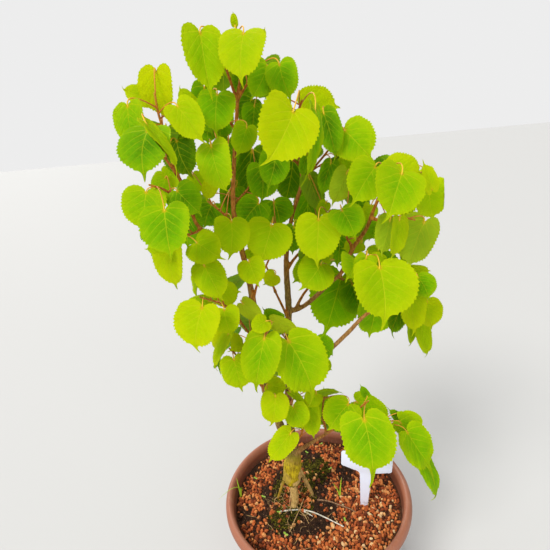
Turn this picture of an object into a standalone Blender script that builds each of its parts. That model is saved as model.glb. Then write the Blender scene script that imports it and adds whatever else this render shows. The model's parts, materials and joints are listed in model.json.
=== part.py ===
# Small-leaved lime bonsai in a round plastic pot, with its plant label.
# The tree stands in gravelly soil on a washed-out root, and splits low down into three stems.
# Metres, +Z up. The origin is the centre of the pot's underside, and -Y is the side it is seen from.
import math
import random

import bmesh
import bpy
from mathutils import Matrix, Vector
from mathutils.bvhtree import BVHTree

MM = 0.001

# Pot
POT_HEIGHT = 125 * MM
RIM_RADIUS = 120 * MM
LIP_WIDTH = 10 * MM
LIP_HEIGHT = 9 * MM
LIP_SQUARENESS = 0.8
COLLAR_HEIGHT = 30 * MM
COLLAR_STEP = 3 * MM
POT_WALL = 3.5 * MM
BASE_RADIUS = 84 * MM
POT_FLOOR = 4 * MM
POT_SEGMENTS = 32
LIP_STEPS = 6
DRAIN_HOLES = 6
DRAIN_RADIUS = 5.5 * MM
DRAIN_CIRCLE = 52 * MM

# Soil
SOIL_DROP = 16 * MM
SOIL_RELIEF = 1.5 * MM
SOIL_MOUND = 3.5 * MM
MOUND_SPREAD = 30 * MM
SOIL_RINGS = 5
SOIL_SEGMENTS = POT_SEGMENTS
GAP = 0.3 * MM

# Where the tree is seen from: the eye, the tilt of its view, and the focal length in pixels
# of a picture 550 pixels square. Places on the tree are given as u and v in that picture
# and a depth in millimetres behind the middle plane of the crown.
EYE = Vector((-29 * MM, -428 * MM, POT_HEIGHT + 439.5 * MM))
EYE_PITCH = math.radians(18.2)
EYE_ROLL = math.radians(-5.2)
PICTURE_FOCAL = 413.0
PICTURE_MIDDLE = 275.0
CROWN_PLANE = -29 * MM
# The crown widens in depth above its lowest branches: from 1 at SPREAD_FROM to CROWN_SPREAD at SPREAD_FULL
CROWN_SPREAD = 1.55
SPREAD_FROM = 450.0
SPREAD_FULL = 330.0

# Leaves
BLADE_THICK = 0.9 * MM
BLADE_CLEAR = 1.3 * MM
STALK_RADIUS = 0.7 * MM
STALK_CLEAR = 0.5 * MM
BLADE_ARCH = 0.07
BLADE_FOLD = 0.16
BLADE_WAVE = 0.016
OUTWARD_TURN = math.radians(34)
TURN_JITTER = math.radians(10)
# The tries for a leaf that has to be clear of others: extra turn, in shares of TURN_JITTER,
# and the step by which it moves along its line of sight
SETTLE_TRIES = [(swing, step) for swing in (0, 1.5, -1.5, 3, -3) for step in range(19)]
# One side of the blade, from the notch to where the drip tip begins: across as a share
# of the breadth, and along as a share of the way there. The tip itself lies on the midrib.
BLADE_SIDE = [(0.30, -0.13), (0.50, 0.13), (0.50, 0.50), (0.33, 0.84), (0.07, 1.0)]
SMALL_SIDE = [(0.33, -0.12), (0.52, 0.25), (0.42, 0.70), (0.08, 1.0)]
YOUNG_SIDE = [(0.40, -0.10), (0.50, 0.38), (0.16, 0.94)]
SMALL_BREADTH = 32 * MM
YOUNG_BREADTH = 18 * MM
MIDRIB_STOPS = [0.25, 0.67]
DRIP_SHARE = 0.17
STALK_STOPS = [1.0, 0.55, 0.0]
TWIG_SIDES = 4

# Stems of the tree: u, v, depth in mm and radius in mm at each point, from the foot up
STEMS = {
    "root_leg": [(294, 505, 17, 5.2), (294, 497, 16, 5.0), (293.3, 486, 15, 5.8), (292.5, 480, 15, 8.5)],
    "base": [(292.5, 483, 15, 8.8), (292.3, 475, 15, 11.3), (292.6, 464, 15, 11.4), (294.3, 454, 15, 8.4),
             (295, 448, 15, 6.0)],
    "middle_stem": [(295, 455, 15, 6.5), (291.5, 432, 18, 4.8), (288.5, 402, 22, 4.4), (288, 350, 27, 4.1),
                    (288.6, 309, 28, 3.9), (286.4, 271, 30, 3.3), (287, 248, 30, 2.7), (292, 216, 29, 2.4),
                    (298, 197, 28, 2.3), (302, 181, 26, 2.3), (300.3, 160, 21, 1.9), (298.5, 120, 6, 1.5)],
    "left_stem": [(292, 455, 14, 6.5), (284, 435, 9, 5.0), (271, 402, 2, 4.4), (264.5, 386, -1, 4.3),
                  (259, 350, -3, 3.8), (254, 308, -4, 3.7), (248, 275, -2, 3.1), (241, 247, 0, 2.9),
                  (234.8, 219, 2, 2.8), (233, 200, 3, 2.4), (234, 165, 4, 2.2), (238, 94, 3, 1.7)],
    "left_branch": [(240, 246, 0, 2.4), (226, 240, -4, 2.1), (200, 228, -12, 1.9), (190, 207, -16, 1.8),
                    (181.5, 183, -22, 1.7), (174.5, 169, -25, 1.5)],
    "right_branch": [(289.5, 311, 28, 3.4), (300, 308, 26, 2.8), (311, 300.5, 22, 2.6),
                     (331.6, 281.4, 10, 2.3), (341, 273, 4, 2.2), (352.5, 249, -4, 2.3),
                     (366, 229, -13, 2.1), (374, 209, -20, 1.7), (385, 183, -27, 1.4)],
    "low_branch": [(288.5, 403, 22, 3.2), (292, 390, 20, 2.7), (305, 373, 15, 2.6), (323.5, 356, 8, 2.5),
                   (349, 331.6, 0, 2.4), (366, 314.5, -6, 2.0), (393, 299, -14, 1.5)],
    "foot_branch": [(295, 454, 14, 4.4), (303, 448, 12, 3.2), (321, 437, 6, 2.6), (338, 426, -2, 2.1),
                    (348, 419.5, -7, 1.7)],
    "thin_branch": [(288.3, 322, 28, 2.2), (285, 312, 26, 1.7), (275.5, 292, 18, 1.4)],
    "inner_branch": [(287, 270, 30, 2.2), (294.6, 258.4, 30, 1.8), (309, 243, 27, 1.4)],
    "back_branch": [(296, 308, 27, 2.2), (303.6, 294, 30, 1.7), (314, 282, 33, 1.4)],
    "left_root": [(287, 474, 14, 4.0), (283, 483, 21, 2.4), (278, 498, 32, 1.7)],
    "right_root": [(298, 470, 17, 4.5), (304.5, 479, 25, 2.8), (312, 493, 33, 2.3)],
}
ROOTS_IN_SOIL = ["root_leg", "left_root", "right_root"]
ROOT_DEPTH = 14 * MM


def leaf(notch, tip, breadth=0.92, turn=None, under=False, drip=DRIP_SHARE):
    """One leaf as seen: its notch and tip (u, v, depth), its breadth as a share of its length,
    its turn in degrees about its midrib, and its drip tip as a share of its length."""
    return {"notch": notch, "tip": tip, "breadth": breadth, "turn": turn, "under": under, "drip": drip}


def shoot(name, twig, leaves, back=0, radius=1.3, stub=8):
    """One leafy shoot: the points of its twig, from inside the stem that bears it, and its leaves.
    back is the number of leaves on its far side, and stub the length in mm that stays on the tree."""
    return {"name": name, "twig": twig, "leaves": leaves, "back": back, "radius": radius, "stub": stub}


SHOOTS = [
    shoot("shoot_left_tip",
          [(174.5, 169, -25), (169.4, 149, -29), (165.5, 134.5, -31), (160.9, 122, -32), (157.9, 111.5, -33),
           (155.4, 98, -34)],
          [leaf((163, 76, -30), (167, 131, -24), 0.68),
           leaf((127, 106, -46), (140, 150, -50), 0.70),
           leaf((178, 106.5, -38), (205, 146, -46), 0.74),
           leaf((150, 130, -40), (142, 170, -42), 0.70),
           leaf((154, 99, -22), (121, 88, -18), 0.62),
           leaf((196, 108, -18), (178, 86, -14), 0.60)], back=1),
    shoot("shoot_left_front",
          [(178, 176, -24), (170, 165, -33), (163, 155, -40), (157, 148, -46)],
          [leaf((147, 131, -60), (146, 182.5, -68), 0.98),
           leaf((177, 141, -22), (194, 180, -26), 0.85),
           leaf((146, 124, -50), (181, 176, -54), 0.20, turn=55),
           leaf((141, 150, -46), (115, 150, -46), 0.50),
           leaf((170, 168, 0), (177, 190, 4), 0.70)]),
    shoot("shoot_left_middle",
          [(190, 207, -16), (181, 200, -24), (170, 193, -30), (160, 188, -34), (153, 186, -36)],
          [leaf((165, 211, -54), (172, 262, -64), 0.94),
           leaf((147, 195.5, -44), (140.5, 236, -50), 0.90),
           leaf((178, 191.5, -36), (203, 216, -40), 1.0),
           leaf((165.5, 178, -24), (156, 200, -22), 0.95)], back=1),
    shoot("shoot_left_hanging",
          [(202, 229, -11), (194, 233, -18), (184, 236, -25), (174, 238, -30)],
          [leaf((168, 243, -36), (177, 291, -34), 0.60),
           leaf((197, 243, -34), (224, 261, -44), 1.10)], back=1),
    shoot("shoot_left_inner",
          [(236, 226, 1), (228, 218, -5), (219, 210, -9), (210, 203, -12)],
          [leaf((231, 222, -18), (229, 261, -26), 0.92),
           leaf((212, 204, -10), (205, 229, -8), 1.15),
           leaf((193, 176, 8), (206, 193, 10), 0.85),
           leaf((236, 187, 14), (226, 207, 14), 1.10)], back=1),
    shoot("shoot_left_low",
          [(257, 338, -3), (249, 333, -8), (243, 325, -12), (236, 315, -16), (226, 306, -20),
           (214, 301, -24), (203, 298, -27)],
          [leaf((198, 308, -44), (193, 353, -52), 1.02),
           leaf((224, 310, -36), (232, 337, -42), 1.0),
           leaf((196, 266, -32), (214, 303, -38), 0.76),
           leaf((217, 293, -14), (242, 291, -10), 1.0),
           leaf((224, 331, -22), (214, 351.5, -22), 0.70),
           leaf((195, 262, -22), (187, 302, -18), 0.22, turn=-60),
           leaf((209, 301, -18), (183, 303, -14), 0.62)], back=1),
    shoot("shoot_left_bottom",
          [(264, 388, -1), (257, 381, -6), (250, 374, -11), (243, 365, -16), (238, 357, -20),
           (231, 350, -24)],
          [leaf((232, 359, -36), (238, 391.5, -42), 0.92),
           leaf((228.5, 334, -28), (214, 370, -26), 0.28, turn=-55),
           leaf((243, 343, -18), (230, 352, -38), 1.40)], stub=12),
    shoot("shoot_middle_left",
          [(259, 354, -3), (262, 344, -10), (265, 334, -16), (268, 325, -20)],
          [leaf((264, 338.5, -38), (257, 393, -48), 0.66, drip=0.25),
           leaf((243, 304, -22), (266, 321, -26), 0.62, under=True),
           leaf((272, 322, -18), (301, 331, -22), 0.52, under=True),
           leaf((266, 321, -28), (250, 332, -32), 0.95),
           leaf((280, 319, -8), (261, 308, -6), 0.60),
           leaf((283, 343, -12), (273, 365, -14), 0.60)], back=1, stub=12),
    shoot("shoot_front",
          [(288, 352, 26), (288, 345, 16), (286, 339, 5), (283, 335, -5)],
          [leaf((292, 341, -34), (316, 402, -44), 0.78),
           leaf((316, 345, 6), (334, 356, 8), 1.20)]),
    shoot("shoot_base_left",
          [(276, 415, 5), (274, 410, -5), (272, 404, -12), (270, 397, -17)],
          [leaf((274, 396.5, -26), (271.5, 425, -34), 0.97),
           leaf((268, 384, -10), (289, 388.5, -12), 0.95)], stub=15),
    shoot("shoot_base_front",
          [(294, 446, 16), (298, 440, 10), (301, 435, 4), (303, 430, 0)],
          [leaf((291.5, 433.5, -14), (270, 463, -26), 0.68),
           leaf((308, 404, -4), (314, 440, -14), 0.56)], stub=14),
    shoot("shoot_base_right",
          [(288.5, 408, 21), (291, 403, 12), (293, 399, 4), (296, 395, -3)],
          [leaf((293, 406.5, -18), (303, 430.5, -26), 1.0),
           leaf((316, 394, 0), (307, 408.5, -6), 1.05),
           leaf((290, 392, -2), (307, 411, -6), 0.30, turn=50),
           leaf((314, 397, 6), (343.5, 392, 10), 0.22, turn=60)]),
    shoot("shoot_low_middle",
          [(326, 433.5, 3), (325, 425, 4), (322.7, 414, 6), (323, 404, 8), (324, 396, 9)],
          [leaf((348, 405, -10), (328, 433, -18), 1.0),
           leaf((329, 398, 2), (319, 418, -2), 0.85),
           leaf((325, 397, 12), (323.5, 386, 12), 0.55)], back=1),
    shoot("shoot_low_end",
          [(348, 419.5, -7), (356, 412, -14), (362, 406, -20), (367, 402, -24)],
          [leaf((364, 420, -46), (374, 491, -62), 0.80, drip=0.30),
           leaf((357, 402, -14), (393, 421, -14), 0.64),
           leaf((367, 396, -16), (360, 384, -14), 0.62)]),
    shoot("shoot_low_right",
          [(343, 423, -4), (356, 424, -7), (370, 424, -11), (383, 424, -15), (391, 425, -18)],
          [leaf((403, 434, -34), (431, 475, -44), 0.74),
           leaf((401, 417, -24), (431, 449, -26), 0.56),
           leaf((418, 450, -26), (436, 499, -30), 0.36, turn=45),
           leaf((406, 416, -10), (423, 428, -8), 0.75),
           leaf((400, 420, -14), (387, 408, -12), 0.55)]),
    shoot("shoot_right_end",
          [(393, 299, -14), (402, 291, -17), (408, 285, -20), (417, 277, -24)],
          [leaf((411, 287, -36), (416, 337, -42), 0.50, turn=25),
           leaf((418, 278, -30), (429, 302, -36), 0.95),
           leaf((410, 272, -24), (431.5, 270, -24), 0.74),
           leaf((427, 302, -22), (431, 331, -24), 0.78)]),
    shoot("shoot_right_low",
          [(378, 307, -10), (388, 306, -6), (396, 305, -2), (404, 305, 1), (412, 308, 3)],
          [leaf((376, 300, 4), (367.5, 339, 2), 0.90),
           leaf((407, 294, -6), (390.5, 338, -6), 0.46, turn=-35),
           leaf((420, 322, -8), (428, 358, -8), 0.40, turn=40),
           leaf((410, 322, -8), (410.5, 347, -8), 0.48)], back=1),
    shoot("shoot_right_back",
          [(331.6, 281.4, 10), (334, 279, 20), (338, 278, 30), (343, 280, 38)],
          [leaf((341, 279, 40), (320.5, 340, 30), 0.73),
           leaf((352, 284, 34), (362, 320, 28), 0.80)], back=1),
    shoot("shoot_middle_right",
          [(342, 272, 3), (348, 268, -4), (356, 265, -12), (363, 262, -19), (368.5, 261, -24)],
          [leaf((380, 271, -48), (381, 330, -58), 0.97),
           leaf((366, 258, -34), (356, 290, -38), 0.66),
           leaf((355, 260, -30), (345, 281, -46), 1.35),
           leaf((374, 256, -20), (389, 261, -20), 0.65)]),
    shoot("shoot_middle_back",
          [(314, 282, 33), (320, 273, 30), (325, 266, 26), (329, 260, 22)],
          [leaf((321, 264.5, -6), (299, 291, -14), 1.10),
           leaf((311, 262, 10), (292, 284, 8), 0.80)], back=1),
    shoot("shoot_middle_top",
          [(309, 243, 27), (318, 230, 22), (324, 220, 17), (329, 212, 12)],
          [leaf((318, 219, -12), (316, 267, -20), 0.90),
           leaf((309, 178, 22), (322, 215, 18), 0.56, under=True),
           leaf((308, 197, 46), (299, 250, 44), 0.52)], back=1),
    shoot("shoot_right_fork",
          [(352.5, 250, -4), (350, 243, -4), (347, 238, -3), (345, 229, -2), (345, 220, -1)],
          [leaf((342, 211.5, -20), (356, 242, -28), 0.98),
           leaf((347, 173, 2), (330, 207, -2), 0.66, under=True),
           leaf((359, 198, 8), (362, 240, 6), 0.48),
           leaf((361, 243, 6), (341, 250, 8), 0.80)], back=1),
    shoot("shoot_crown_right",
          [(385, 183, -27), (388, 172, -30), (390, 166, -31)],
          [leaf((399, 174, -50), (380, 226, -62), 0.92),
           leaf((375, 167.5, -40), (351, 207, -48), 0.93),
           leaf((391, 166, -22), (424, 172, -18), 1.05)], back=1),
    shoot("shoot_crown_right_low",
          [(371.5, 218, -17), (378, 220, -20), (386, 220, -24), (394, 217, -27), (402, 217, -30),
           (411, 219, -32)],
          [leaf((424, 222, -28), (408, 271, -34), 0.78, under=True),
           leaf((390, 220, -36), (380, 257, -42), 0.62, under=True),
           leaf((400, 220, -44), (391, 262, -48), 0.38, turn=40),
           leaf((412, 229, -20), (398, 268, -20), 0.42),
           leaf((377, 221, -10), (368, 241, -10), 0.95),
           leaf((371, 206, 0), (364, 222, 0), 0.90)]),
    shoot("shoot_crown_right_edge",
          [(382, 190, -25), (392, 187, -20), (402, 183, -15), (412, 178, -12), (420, 173, -10)],
          [leaf((426, 170, -22), (411, 227, -32), 0.62, turn=-25),
           leaf((436, 190, -8), (426, 158, -6), 0.48)]),
    shoot("shoot_right_top",
          [(302, 182, 26), (310, 172, 24), (318, 163, 20), (327, 152, 15), (335, 141, 10), (342, 131, 6)],
          [leaf((344, 131, -6), (369, 160, -12), 0.95),
           leaf((321, 113, -4), (333, 163, -10), 0.48),
           leaf((331, 163, 10), (322, 199, 8), 0.48),
           leaf((336, 157, 24), (352, 169, 24), 0.95),
           leaf((343, 158, 8), (372, 167, 8), 0.70)], back=1),
    shoot("shoot_centre_top",
          [(298.5, 120, 6), (298.5, 112, 2), (299.5, 107, -1), (301, 103, -3)],
          [leaf((292, 111, -42), (261, 168, -54), 0.97),
           leaf((315, 110, -34), (302, 186, -44), 0.18, turn=60),
           leaf((303, 110, -14), (341, 106, -10), 1.1),
           leaf((279, 106, -8), (273, 92, -6), 0.85)]),
    shoot("shoot_centre",
          [(300.5, 165, 22), (293, 160, 16), (285, 156, 10), (278, 153, 4)],
          [leaf((276, 156, -12), (264, 196, -18), 0.74, drip=0.28),
           leaf((293, 160, 46), (284, 205, 46), 0.78),
           leaf((307, 155, 14), (301.5, 179, 12), 0.48)], back=1),
    shoot("shoot_centre_low",
          [(288.3, 238, 30), (283, 232, 23), (278, 227, 15), (273, 222, 8)],
          [leaf((272, 226, -14), (259, 266, -24), 1.10),
           leaf((274, 202, 20), (279, 229, 18), 1.22)]),
    shoot("shoot_left_twin",
          [(253, 300, -4), (257, 285, -6), (262, 274, -7), (266, 266, -7), (270.5, 256, -8)],
          [leaf((249, 262.5, -28), (259, 288, -34), 1.0)], stub=10),
    shoot("shoot_thin",
          [(275.5, 292, 18), (272, 283, 10), (270, 276, 4), (267, 268, 1)],
          [leaf((275, 275, -8), (263, 285.5, -12), 1.08)]),
    shoot("shoot_left_upper",
          [(233.3, 205, 3), (240, 198, 7), (247, 190, 10), (253, 181, 13), (257, 171, 15)],
          [leaf((258, 204, 8), (240, 229, 2), 1.05),
           leaf((252, 152, 22), (247, 209, 18), 0.52)], back=1),
    shoot("shoot_left_crown",
          [(233.8, 172, 4), (226, 164, -5), (218, 157, -13), (212, 152, -19)],
          [leaf((208, 148, -36), (217, 207, -46), 0.70),
           leaf((213, 181, -28), (206, 202, -28), 0.70)]),
    shoot("shoot_crown_left",
          [(236, 130, 4), (229, 121, -1), (222, 111, -6), (215, 101, -10), (209, 93, -13)],
          [leaf((203, 109, 12), (213, 137, 10), 0.75),
           leaf((218, 95, -24), (217, 138, -30), 0.93),
           leaf((247, 127, -8), (236, 158, -12), 0.78),
           leaf((204, 88, -16), (195, 130, -14), 0.62),
           leaf((252, 99, 34), (238, 123, 34), 0.95)], back=1),
    shoot("shoot_top_left",
          [(237.3, 101, 3), (232, 86, -2), (226, 68, -8), (221, 50, -12), (217, 35, -15)],
          [leaf((198.5, 33, -28), (208, 88, -34), 0.72),
           leaf((214, 35, -12), (220, 80, -10), 0.30, turn=50),
           leaf((223, 57, -2), (231, 84, 0), 0.40)]),
    shoot("shoot_top",
          [(238, 94, 3), (240, 80, 0), (241, 66, -4), (240, 50, -7), (238, 38, -9), (236, 28, -11)],
          [leaf((243, 33, -34), (241, 88, -44), 0.93),
           leaf((235, 25, -14), (233, 11, -14), 0.58),
           leaf((258, 44, -6), (266, 27, -4), 0.55)], back=1),
    shoot("shoot_top_right",
          [(237.6, 99, 3), (246, 86, 0), (255, 73, -5), (262, 63, -10)],
          [leaf((280, 66, -18), (291, 103, -22), 0.80),
           leaf((267, 67, -14), (250, 101, -16), 0.80),
           leaf((268, 71, -2), (265, 102, -2), 0.26, turn=55)]),
]

# Things on the soil, as seen in the picture
LABEL_FOOT = (364, 505)
LABEL_HEAD = (60 * MM, 30 * MM)
LABEL_SHOULDER = 4 * MM
LABEL_STEM = (14 * MM, 9 * MM)
LABEL_ABOVE = 66 * MM
LABEL_BELOW = 30 * MM
LABEL_THICK = 1.2 * MM
LABEL_CORNER = 4 * MM
LABEL_LEAN = math.radians(8)
LABEL_ROLL = math.radians(3.5)
LABEL_YAW = math.radians(-16)
LABEL_FILLET = 7 * MM
DRY_STALK = [(279.5, 513), (289, 511.5), (300, 511), (308, 512), (316, 514.5), (326, 519), (336, 524),
             (344, 528)]
DRY_STALK_SIDE = [(302, 511.5), (307, 514), (313, 517.5)]
DRY_STALK_RADIUS = 1.0 * MM
FALLEN_TWIG = [(317, 501), (324, 501.5), (331, 503), (338, 505.5), (345, 508), (351, 510.5), (356, 513)]
FALLEN_TWIG_RADIUS = 0.9 * MM
GRASS_THICK = 0.8 * MM
GRASS_WIDTH = 1.8 * MM
# Grass: u, v and height over the soil in mm, from the foot up
GRASS_LEFT = [[(241, 496, 0), (239, 488, 12), (236.5, 478, 24)],
              [(241, 496, 0), (241.5, 491, 8), (242, 487, 14)],
              [(241, 496, 0), (239.5, 488, 17), (231, 489, 28), (219, 499, 22)]]
GRASS_RIGHT = [[(340, 495, 0), (340.5, 486, 14), (341.5, 477, 27)],
               [(339.5, 495, 0), (337, 489, 9), (333, 483, 17)]]
GRASS_PLUG = 1.6 * MM
GRASS_PLUG_DEPTH = 6 * MM


def sight_line(u, v):
    """Direction from the eye through a point of the picture."""
    ahead = Vector((0, math.cos(EYE_PITCH), -math.sin(EYE_PITCH)))
    above = Vector((0, math.sin(EYE_PITCH), math.cos(EYE_PITCH)))
    across = Vector((math.cos(EYE_ROLL), 0, 0)) + above * math.sin(EYE_ROLL)
    upward = Vector((-math.sin(EYE_ROLL), 0, 0)) + above * math.cos(EYE_ROLL)
    right = (u - PICTURE_MIDDLE) / PICTURE_FOCAL
    down = (v - PICTURE_MIDDLE) / PICTURE_FOCAL
    return ahead + across * right - upward * down


def seen_at(u, v, depth):
    """The point seen at u, v that lies depth mm, widened by the crown's spread, behind its middle plane."""
    line = sight_line(u, v)
    rise = max(0.0, min(1.0, (SPREAD_FROM - v) / (SPREAD_FROM - SPREAD_FULL)))
    spread = 1 + (CROWN_SPREAD - 1) * rise
    return EYE + line * ((CROWN_PLANE + spread * depth * MM - EYE.y) / line.y)


def seen_on_level(u, v, level):
    """The point seen at u, v at a given height."""
    line = sight_line(u, v)
    return EYE + line * ((level - EYE.z) / line.z)


def clear_scene():
    for thing in list(bpy.data.objects):
        bpy.data.objects.remove(thing, do_unlink=True)


def make_material(name, colour, roughness, metallic=0.0):
    material = bpy.data.materials.new(name)
    material.use_nodes = True
    shader = material.node_tree.nodes["Principled BSDF"]
    shader.inputs["Base Color"].default_value = (*colour, 1)
    shader.inputs["Roughness"].default_value = roughness
    shader.inputs["Metallic"].default_value = metallic
    return material


def make_object(name, shape, material=None):
    """An object from a list of points and a list of faces."""
    mesh = bpy.data.meshes.new(name)
    mesh.from_pydata([tuple(p) for p in shape[0]], [], shape[1])
    mesh.update()
    thing = bpy.data.objects.new(name, mesh)
    bpy.context.scene.collection.objects.link(thing)
    if material:
        mesh.materials.append(material)
    return thing


def smooth_shading(thing, angle=40):
    thing.data.shade_smooth()
    thing.data.set_sharp_from_angle(angle=math.radians(angle))


def keep_main_body(mesh):
    """Drops the loose scraps that a union leaves beside the main body."""
    work = bmesh.new()
    work.from_mesh(mesh)
    left = set(work.verts)
    bodies = []
    while left:
        stack = [left.pop()]
        body = set(stack)
        while stack:
            for edge in stack.pop().link_edges:
                for vert in edge.verts:
                    if vert in left:
                        left.remove(vert)
                        body.add(vert)
                        stack.append(vert)
        bodies.append(body)
    bodies.sort(key=len)
    for body in bodies[:-1]:
        bmesh.ops.delete(work, geom=list(body), context="VERTS")
    work.to_mesh(mesh)
    work.free()
    mesh.update()


def apply_modifiers(thing):
    """Replaces an object's mesh by the one its modifiers make."""
    graph = bpy.context.evaluated_depsgraph_get()
    result = bpy.data.meshes.new_from_object(thing.evaluated_get(graph))
    thing.modifiers.clear()
    thing.data = result


def join_solids(name, shapes, material):
    """One closed body from overlapping closed shapes."""
    group = bpy.data.collections.new(name + "_pieces")
    bpy.context.scene.collection.children.link(group)
    thing = make_object(name, shapes[0], material)
    for number, shape in enumerate(shapes[1:]):
        piece = make_object(f"{name}_piece_{number}", shape)
        bpy.context.scene.collection.objects.unlink(piece)
        group.objects.link(piece)
    union = thing.modifiers.new("Union", "BOOLEAN")
    union.operation = "UNION"
    union.operand_type = "COLLECTION"
    union.collection = group
    union.solver = "MANIFOLD"
    apply_modifiers(thing)
    for piece in list(group.objects):
        bpy.data.objects.remove(piece, do_unlink=True)
    bpy.data.collections.remove(group)
    thing.data.materials.clear()
    thing.data.materials.append(material)
    keep_main_body(thing.data)
    return thing


def cut(thing, cutter):
    """Cuts one object by another and removes the cutter."""
    difference = thing.modifiers.new("Cut", "BOOLEAN")
    difference.operation = "DIFFERENCE"
    difference.object = cutter
    difference.solver = "EXACT"
    apply_modifiers(thing)
    bpy.data.objects.remove(cutter, do_unlink=True)


def tube(points, radii, sides):
    """A tapered round bar along points, closed at both ends."""
    verts = []
    faces = []
    normal = None
    for number, point in enumerate(points):
        before = points[max(number - 1, 0)]
        after = points[min(number + 1, len(points) - 1)]
        along = (after - before).normalized()
        if normal is None:
            normal = along.orthogonal().normalized()
        normal = (normal - along * normal.dot(along)).normalized()
        side = along.cross(normal)
        for step in range(sides):
            angle = 2 * math.pi * step / sides
            verts.append(point + (normal * math.cos(angle) + side * math.sin(angle)) * radii[number])
    for ring in range(len(points) - 1):
        for step in range(sides):
            following = (step + 1) % sides
            a = ring * sides
            b = a + sides
            faces.append([a + step, a + following, b + following])
            faces.append([a + step, b + following, b + step])
    faces.append(list(range(sides))[::-1])
    last = (len(points) - 1) * sides
    faces.append([last + step for step in range(sides)])
    return verts, faces


def walk(points, distance):
    """Splits a path at a distance from its start into the near part and the far part."""
    near = [points[0]]
    for number in range(1, len(points)):
        step = points[number] - near[-1]
        if step.length > distance:
            middle = near[-1] + step * (distance / step.length)
            near.append(middle)
            return near, [middle] + points[number:]
        distance -= step.length
        near.append(points[number])
    return near, [points[-1]]


def turned(profile, segments):
    """A turned ring from a closed profile of (radius, height) points, listed anticlockwise."""
    verts = []
    faces = []
    count = len(profile)
    for step in range(segments):
        angle = 2 * math.pi * step / segments
        for radius, height in profile:
            verts.append(Vector((radius * math.cos(angle), radius * math.sin(angle), height)))
    for step in range(segments):
        a = step * count
        b = ((step + 1) % segments) * count
        for row in range(count):
            following = (row + 1) % count
            faces.append([a + row, b + row, b + following, a + following])
    return verts, faces


def pot_wall_radius(height):
    """Inner radius of the pot's wall at a height above its floor."""
    top = RIM_RADIUS - LIP_WIDTH
    bottom = BASE_RADIUS - POT_WALL
    return bottom + (top - bottom) * (height - POT_FLOOR) / (POT_HEIGHT - LIP_HEIGHT - POT_FLOOR)


def make_pot():
    collar_bottom = POT_HEIGHT - COLLAR_HEIGHT
    wall_at_collar = pot_wall_radius(collar_bottom) + POT_WALL
    lip_middle = RIM_RADIUS - LIP_WIDTH / 2
    lip_base = POT_HEIGHT - LIP_HEIGHT
    lip = []
    for step in range(LIP_STEPS + 1):
        angle = math.pi * step / LIP_STEPS
        height = LIP_HEIGHT * math.sin(angle) ** LIP_SQUARENESS
        lip.append((lip_middle + LIP_WIDTH / 2 * math.cos(angle), lip_base + height))
    collar_radius = RIM_RADIUS - LIP_WIDTH + POT_WALL + COLLAR_STEP
    outside = [(BASE_RADIUS - 2 * MM, 0), (BASE_RADIUS, 2 * MM), (wall_at_collar, collar_bottom),
               (wall_at_collar + COLLAR_STEP, collar_bottom + 1 * MM), (collar_radius, lip_base - 1.5 * MM)]
    inside = [(pot_wall_radius(POT_FLOOR), POT_FLOOR)]
    profile = outside + lip + inside
    verts, faces = turned(profile, POT_SEGMENTS)
    count = len(profile)
    floor_ring = [step * count + count - 1 for step in range(POT_SEGMENTS)]
    base_ring = [step * count for step in range(POT_SEGMENTS)]
    faces = [face for face in faces if not (face[0] % count == count - 1)]
    faces.append(floor_ring)
    faces.append(base_ring[::-1])
    pot = make_object("pot", (verts, faces), make_material("terracotta_plastic", (0.42, 0.17, 0.11), 0.5))
    for hole in range(DRAIN_HOLES):
        angle = 2 * math.pi * (hole + 0.5) / DRAIN_HOLES
        middle = Vector((math.cos(angle), math.sin(angle), 0)) * DRAIN_CIRCLE
        bar = tube([middle - Vector((0, 0, 5 * MM)), middle + Vector((0, 0, 10 * MM))], [DRAIN_RADIUS] * 2, 8)
        cut(pot, make_object("drain", bar))
    smooth_shading(pot, 30)
    return pot


def scatter(first, second):
    """A number from 0 to 1 that looks random and depends only on its two inputs."""
    value = math.sin(first * 12.9898 + second * 78.233) * 43758.5453
    return value - math.floor(value)


def soil_level():
    return POT_HEIGHT - SOIL_DROP


def soil_shape():
    """The filling of the pot, with a gravelly top that mounds up to the foot of the tree."""
    foot = seen_on_level(*STEMS["root_leg"][0][:2], soil_level())
    verts = []
    faces = []
    top_radius = pot_wall_radius(soil_level()) - GAP
    for ring in range(1, SOIL_RINGS + 1):
        radius = top_radius * ring / SOIL_RINGS
        for step in range(SOIL_SEGMENTS):
            angle = 2 * math.pi * (step + 0.5 * ((SOIL_RINGS - ring) % 2)) / SOIL_SEGMENTS
            x = radius * math.cos(angle)
            y = radius * math.sin(angle)
            mound = SOIL_MOUND * math.exp(-(((x - foot.x) ** 2 + (y - foot.y) ** 2) / MOUND_SPREAD ** 2))
            grain = SOIL_RELIEF * (scatter(ring, step) - 0.5)
            verts.append(Vector((x, y, soil_level() + mound + grain)))
    middle = len(verts)
    verts.append(Vector((0, 0, soil_level() + SOIL_RELIEF)))
    floor = POT_FLOOR + GAP
    bottom = len(verts)
    for step in range(SOIL_SEGMENTS):
        angle = 2 * math.pi * step / SOIL_SEGMENTS
        radius = pot_wall_radius(floor) - GAP
        verts.append(Vector((radius * math.cos(angle), radius * math.sin(angle), floor)))
    for step in range(SOIL_SEGMENTS):
        following = (step + 1) % SOIL_SEGMENTS
        faces.append([middle, step, following])
        for ring in range(SOIL_RINGS - 1):
            a = ring * SOIL_SEGMENTS
            b = a + SOIL_SEGMENTS
            if (SOIL_RINGS - ring - 1) % 2:
                faces.append([a + step, b + step, b + following])
                faces.append([a + step, b + following, a + following])
            else:
                faces.append([a + step, b + step, a + following])
                faces.append([a + following, b + step, b + following])
        edge = (SOIL_RINGS - 1) * SOIL_SEGMENTS
        faces.append([edge + step, bottom + step, bottom + following])
        faces.append([edge + step, bottom + following, edge + following])
    faces.append([bottom + step for step in range(SOIL_SEGMENTS)][::-1])
    return verts, faces


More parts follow.
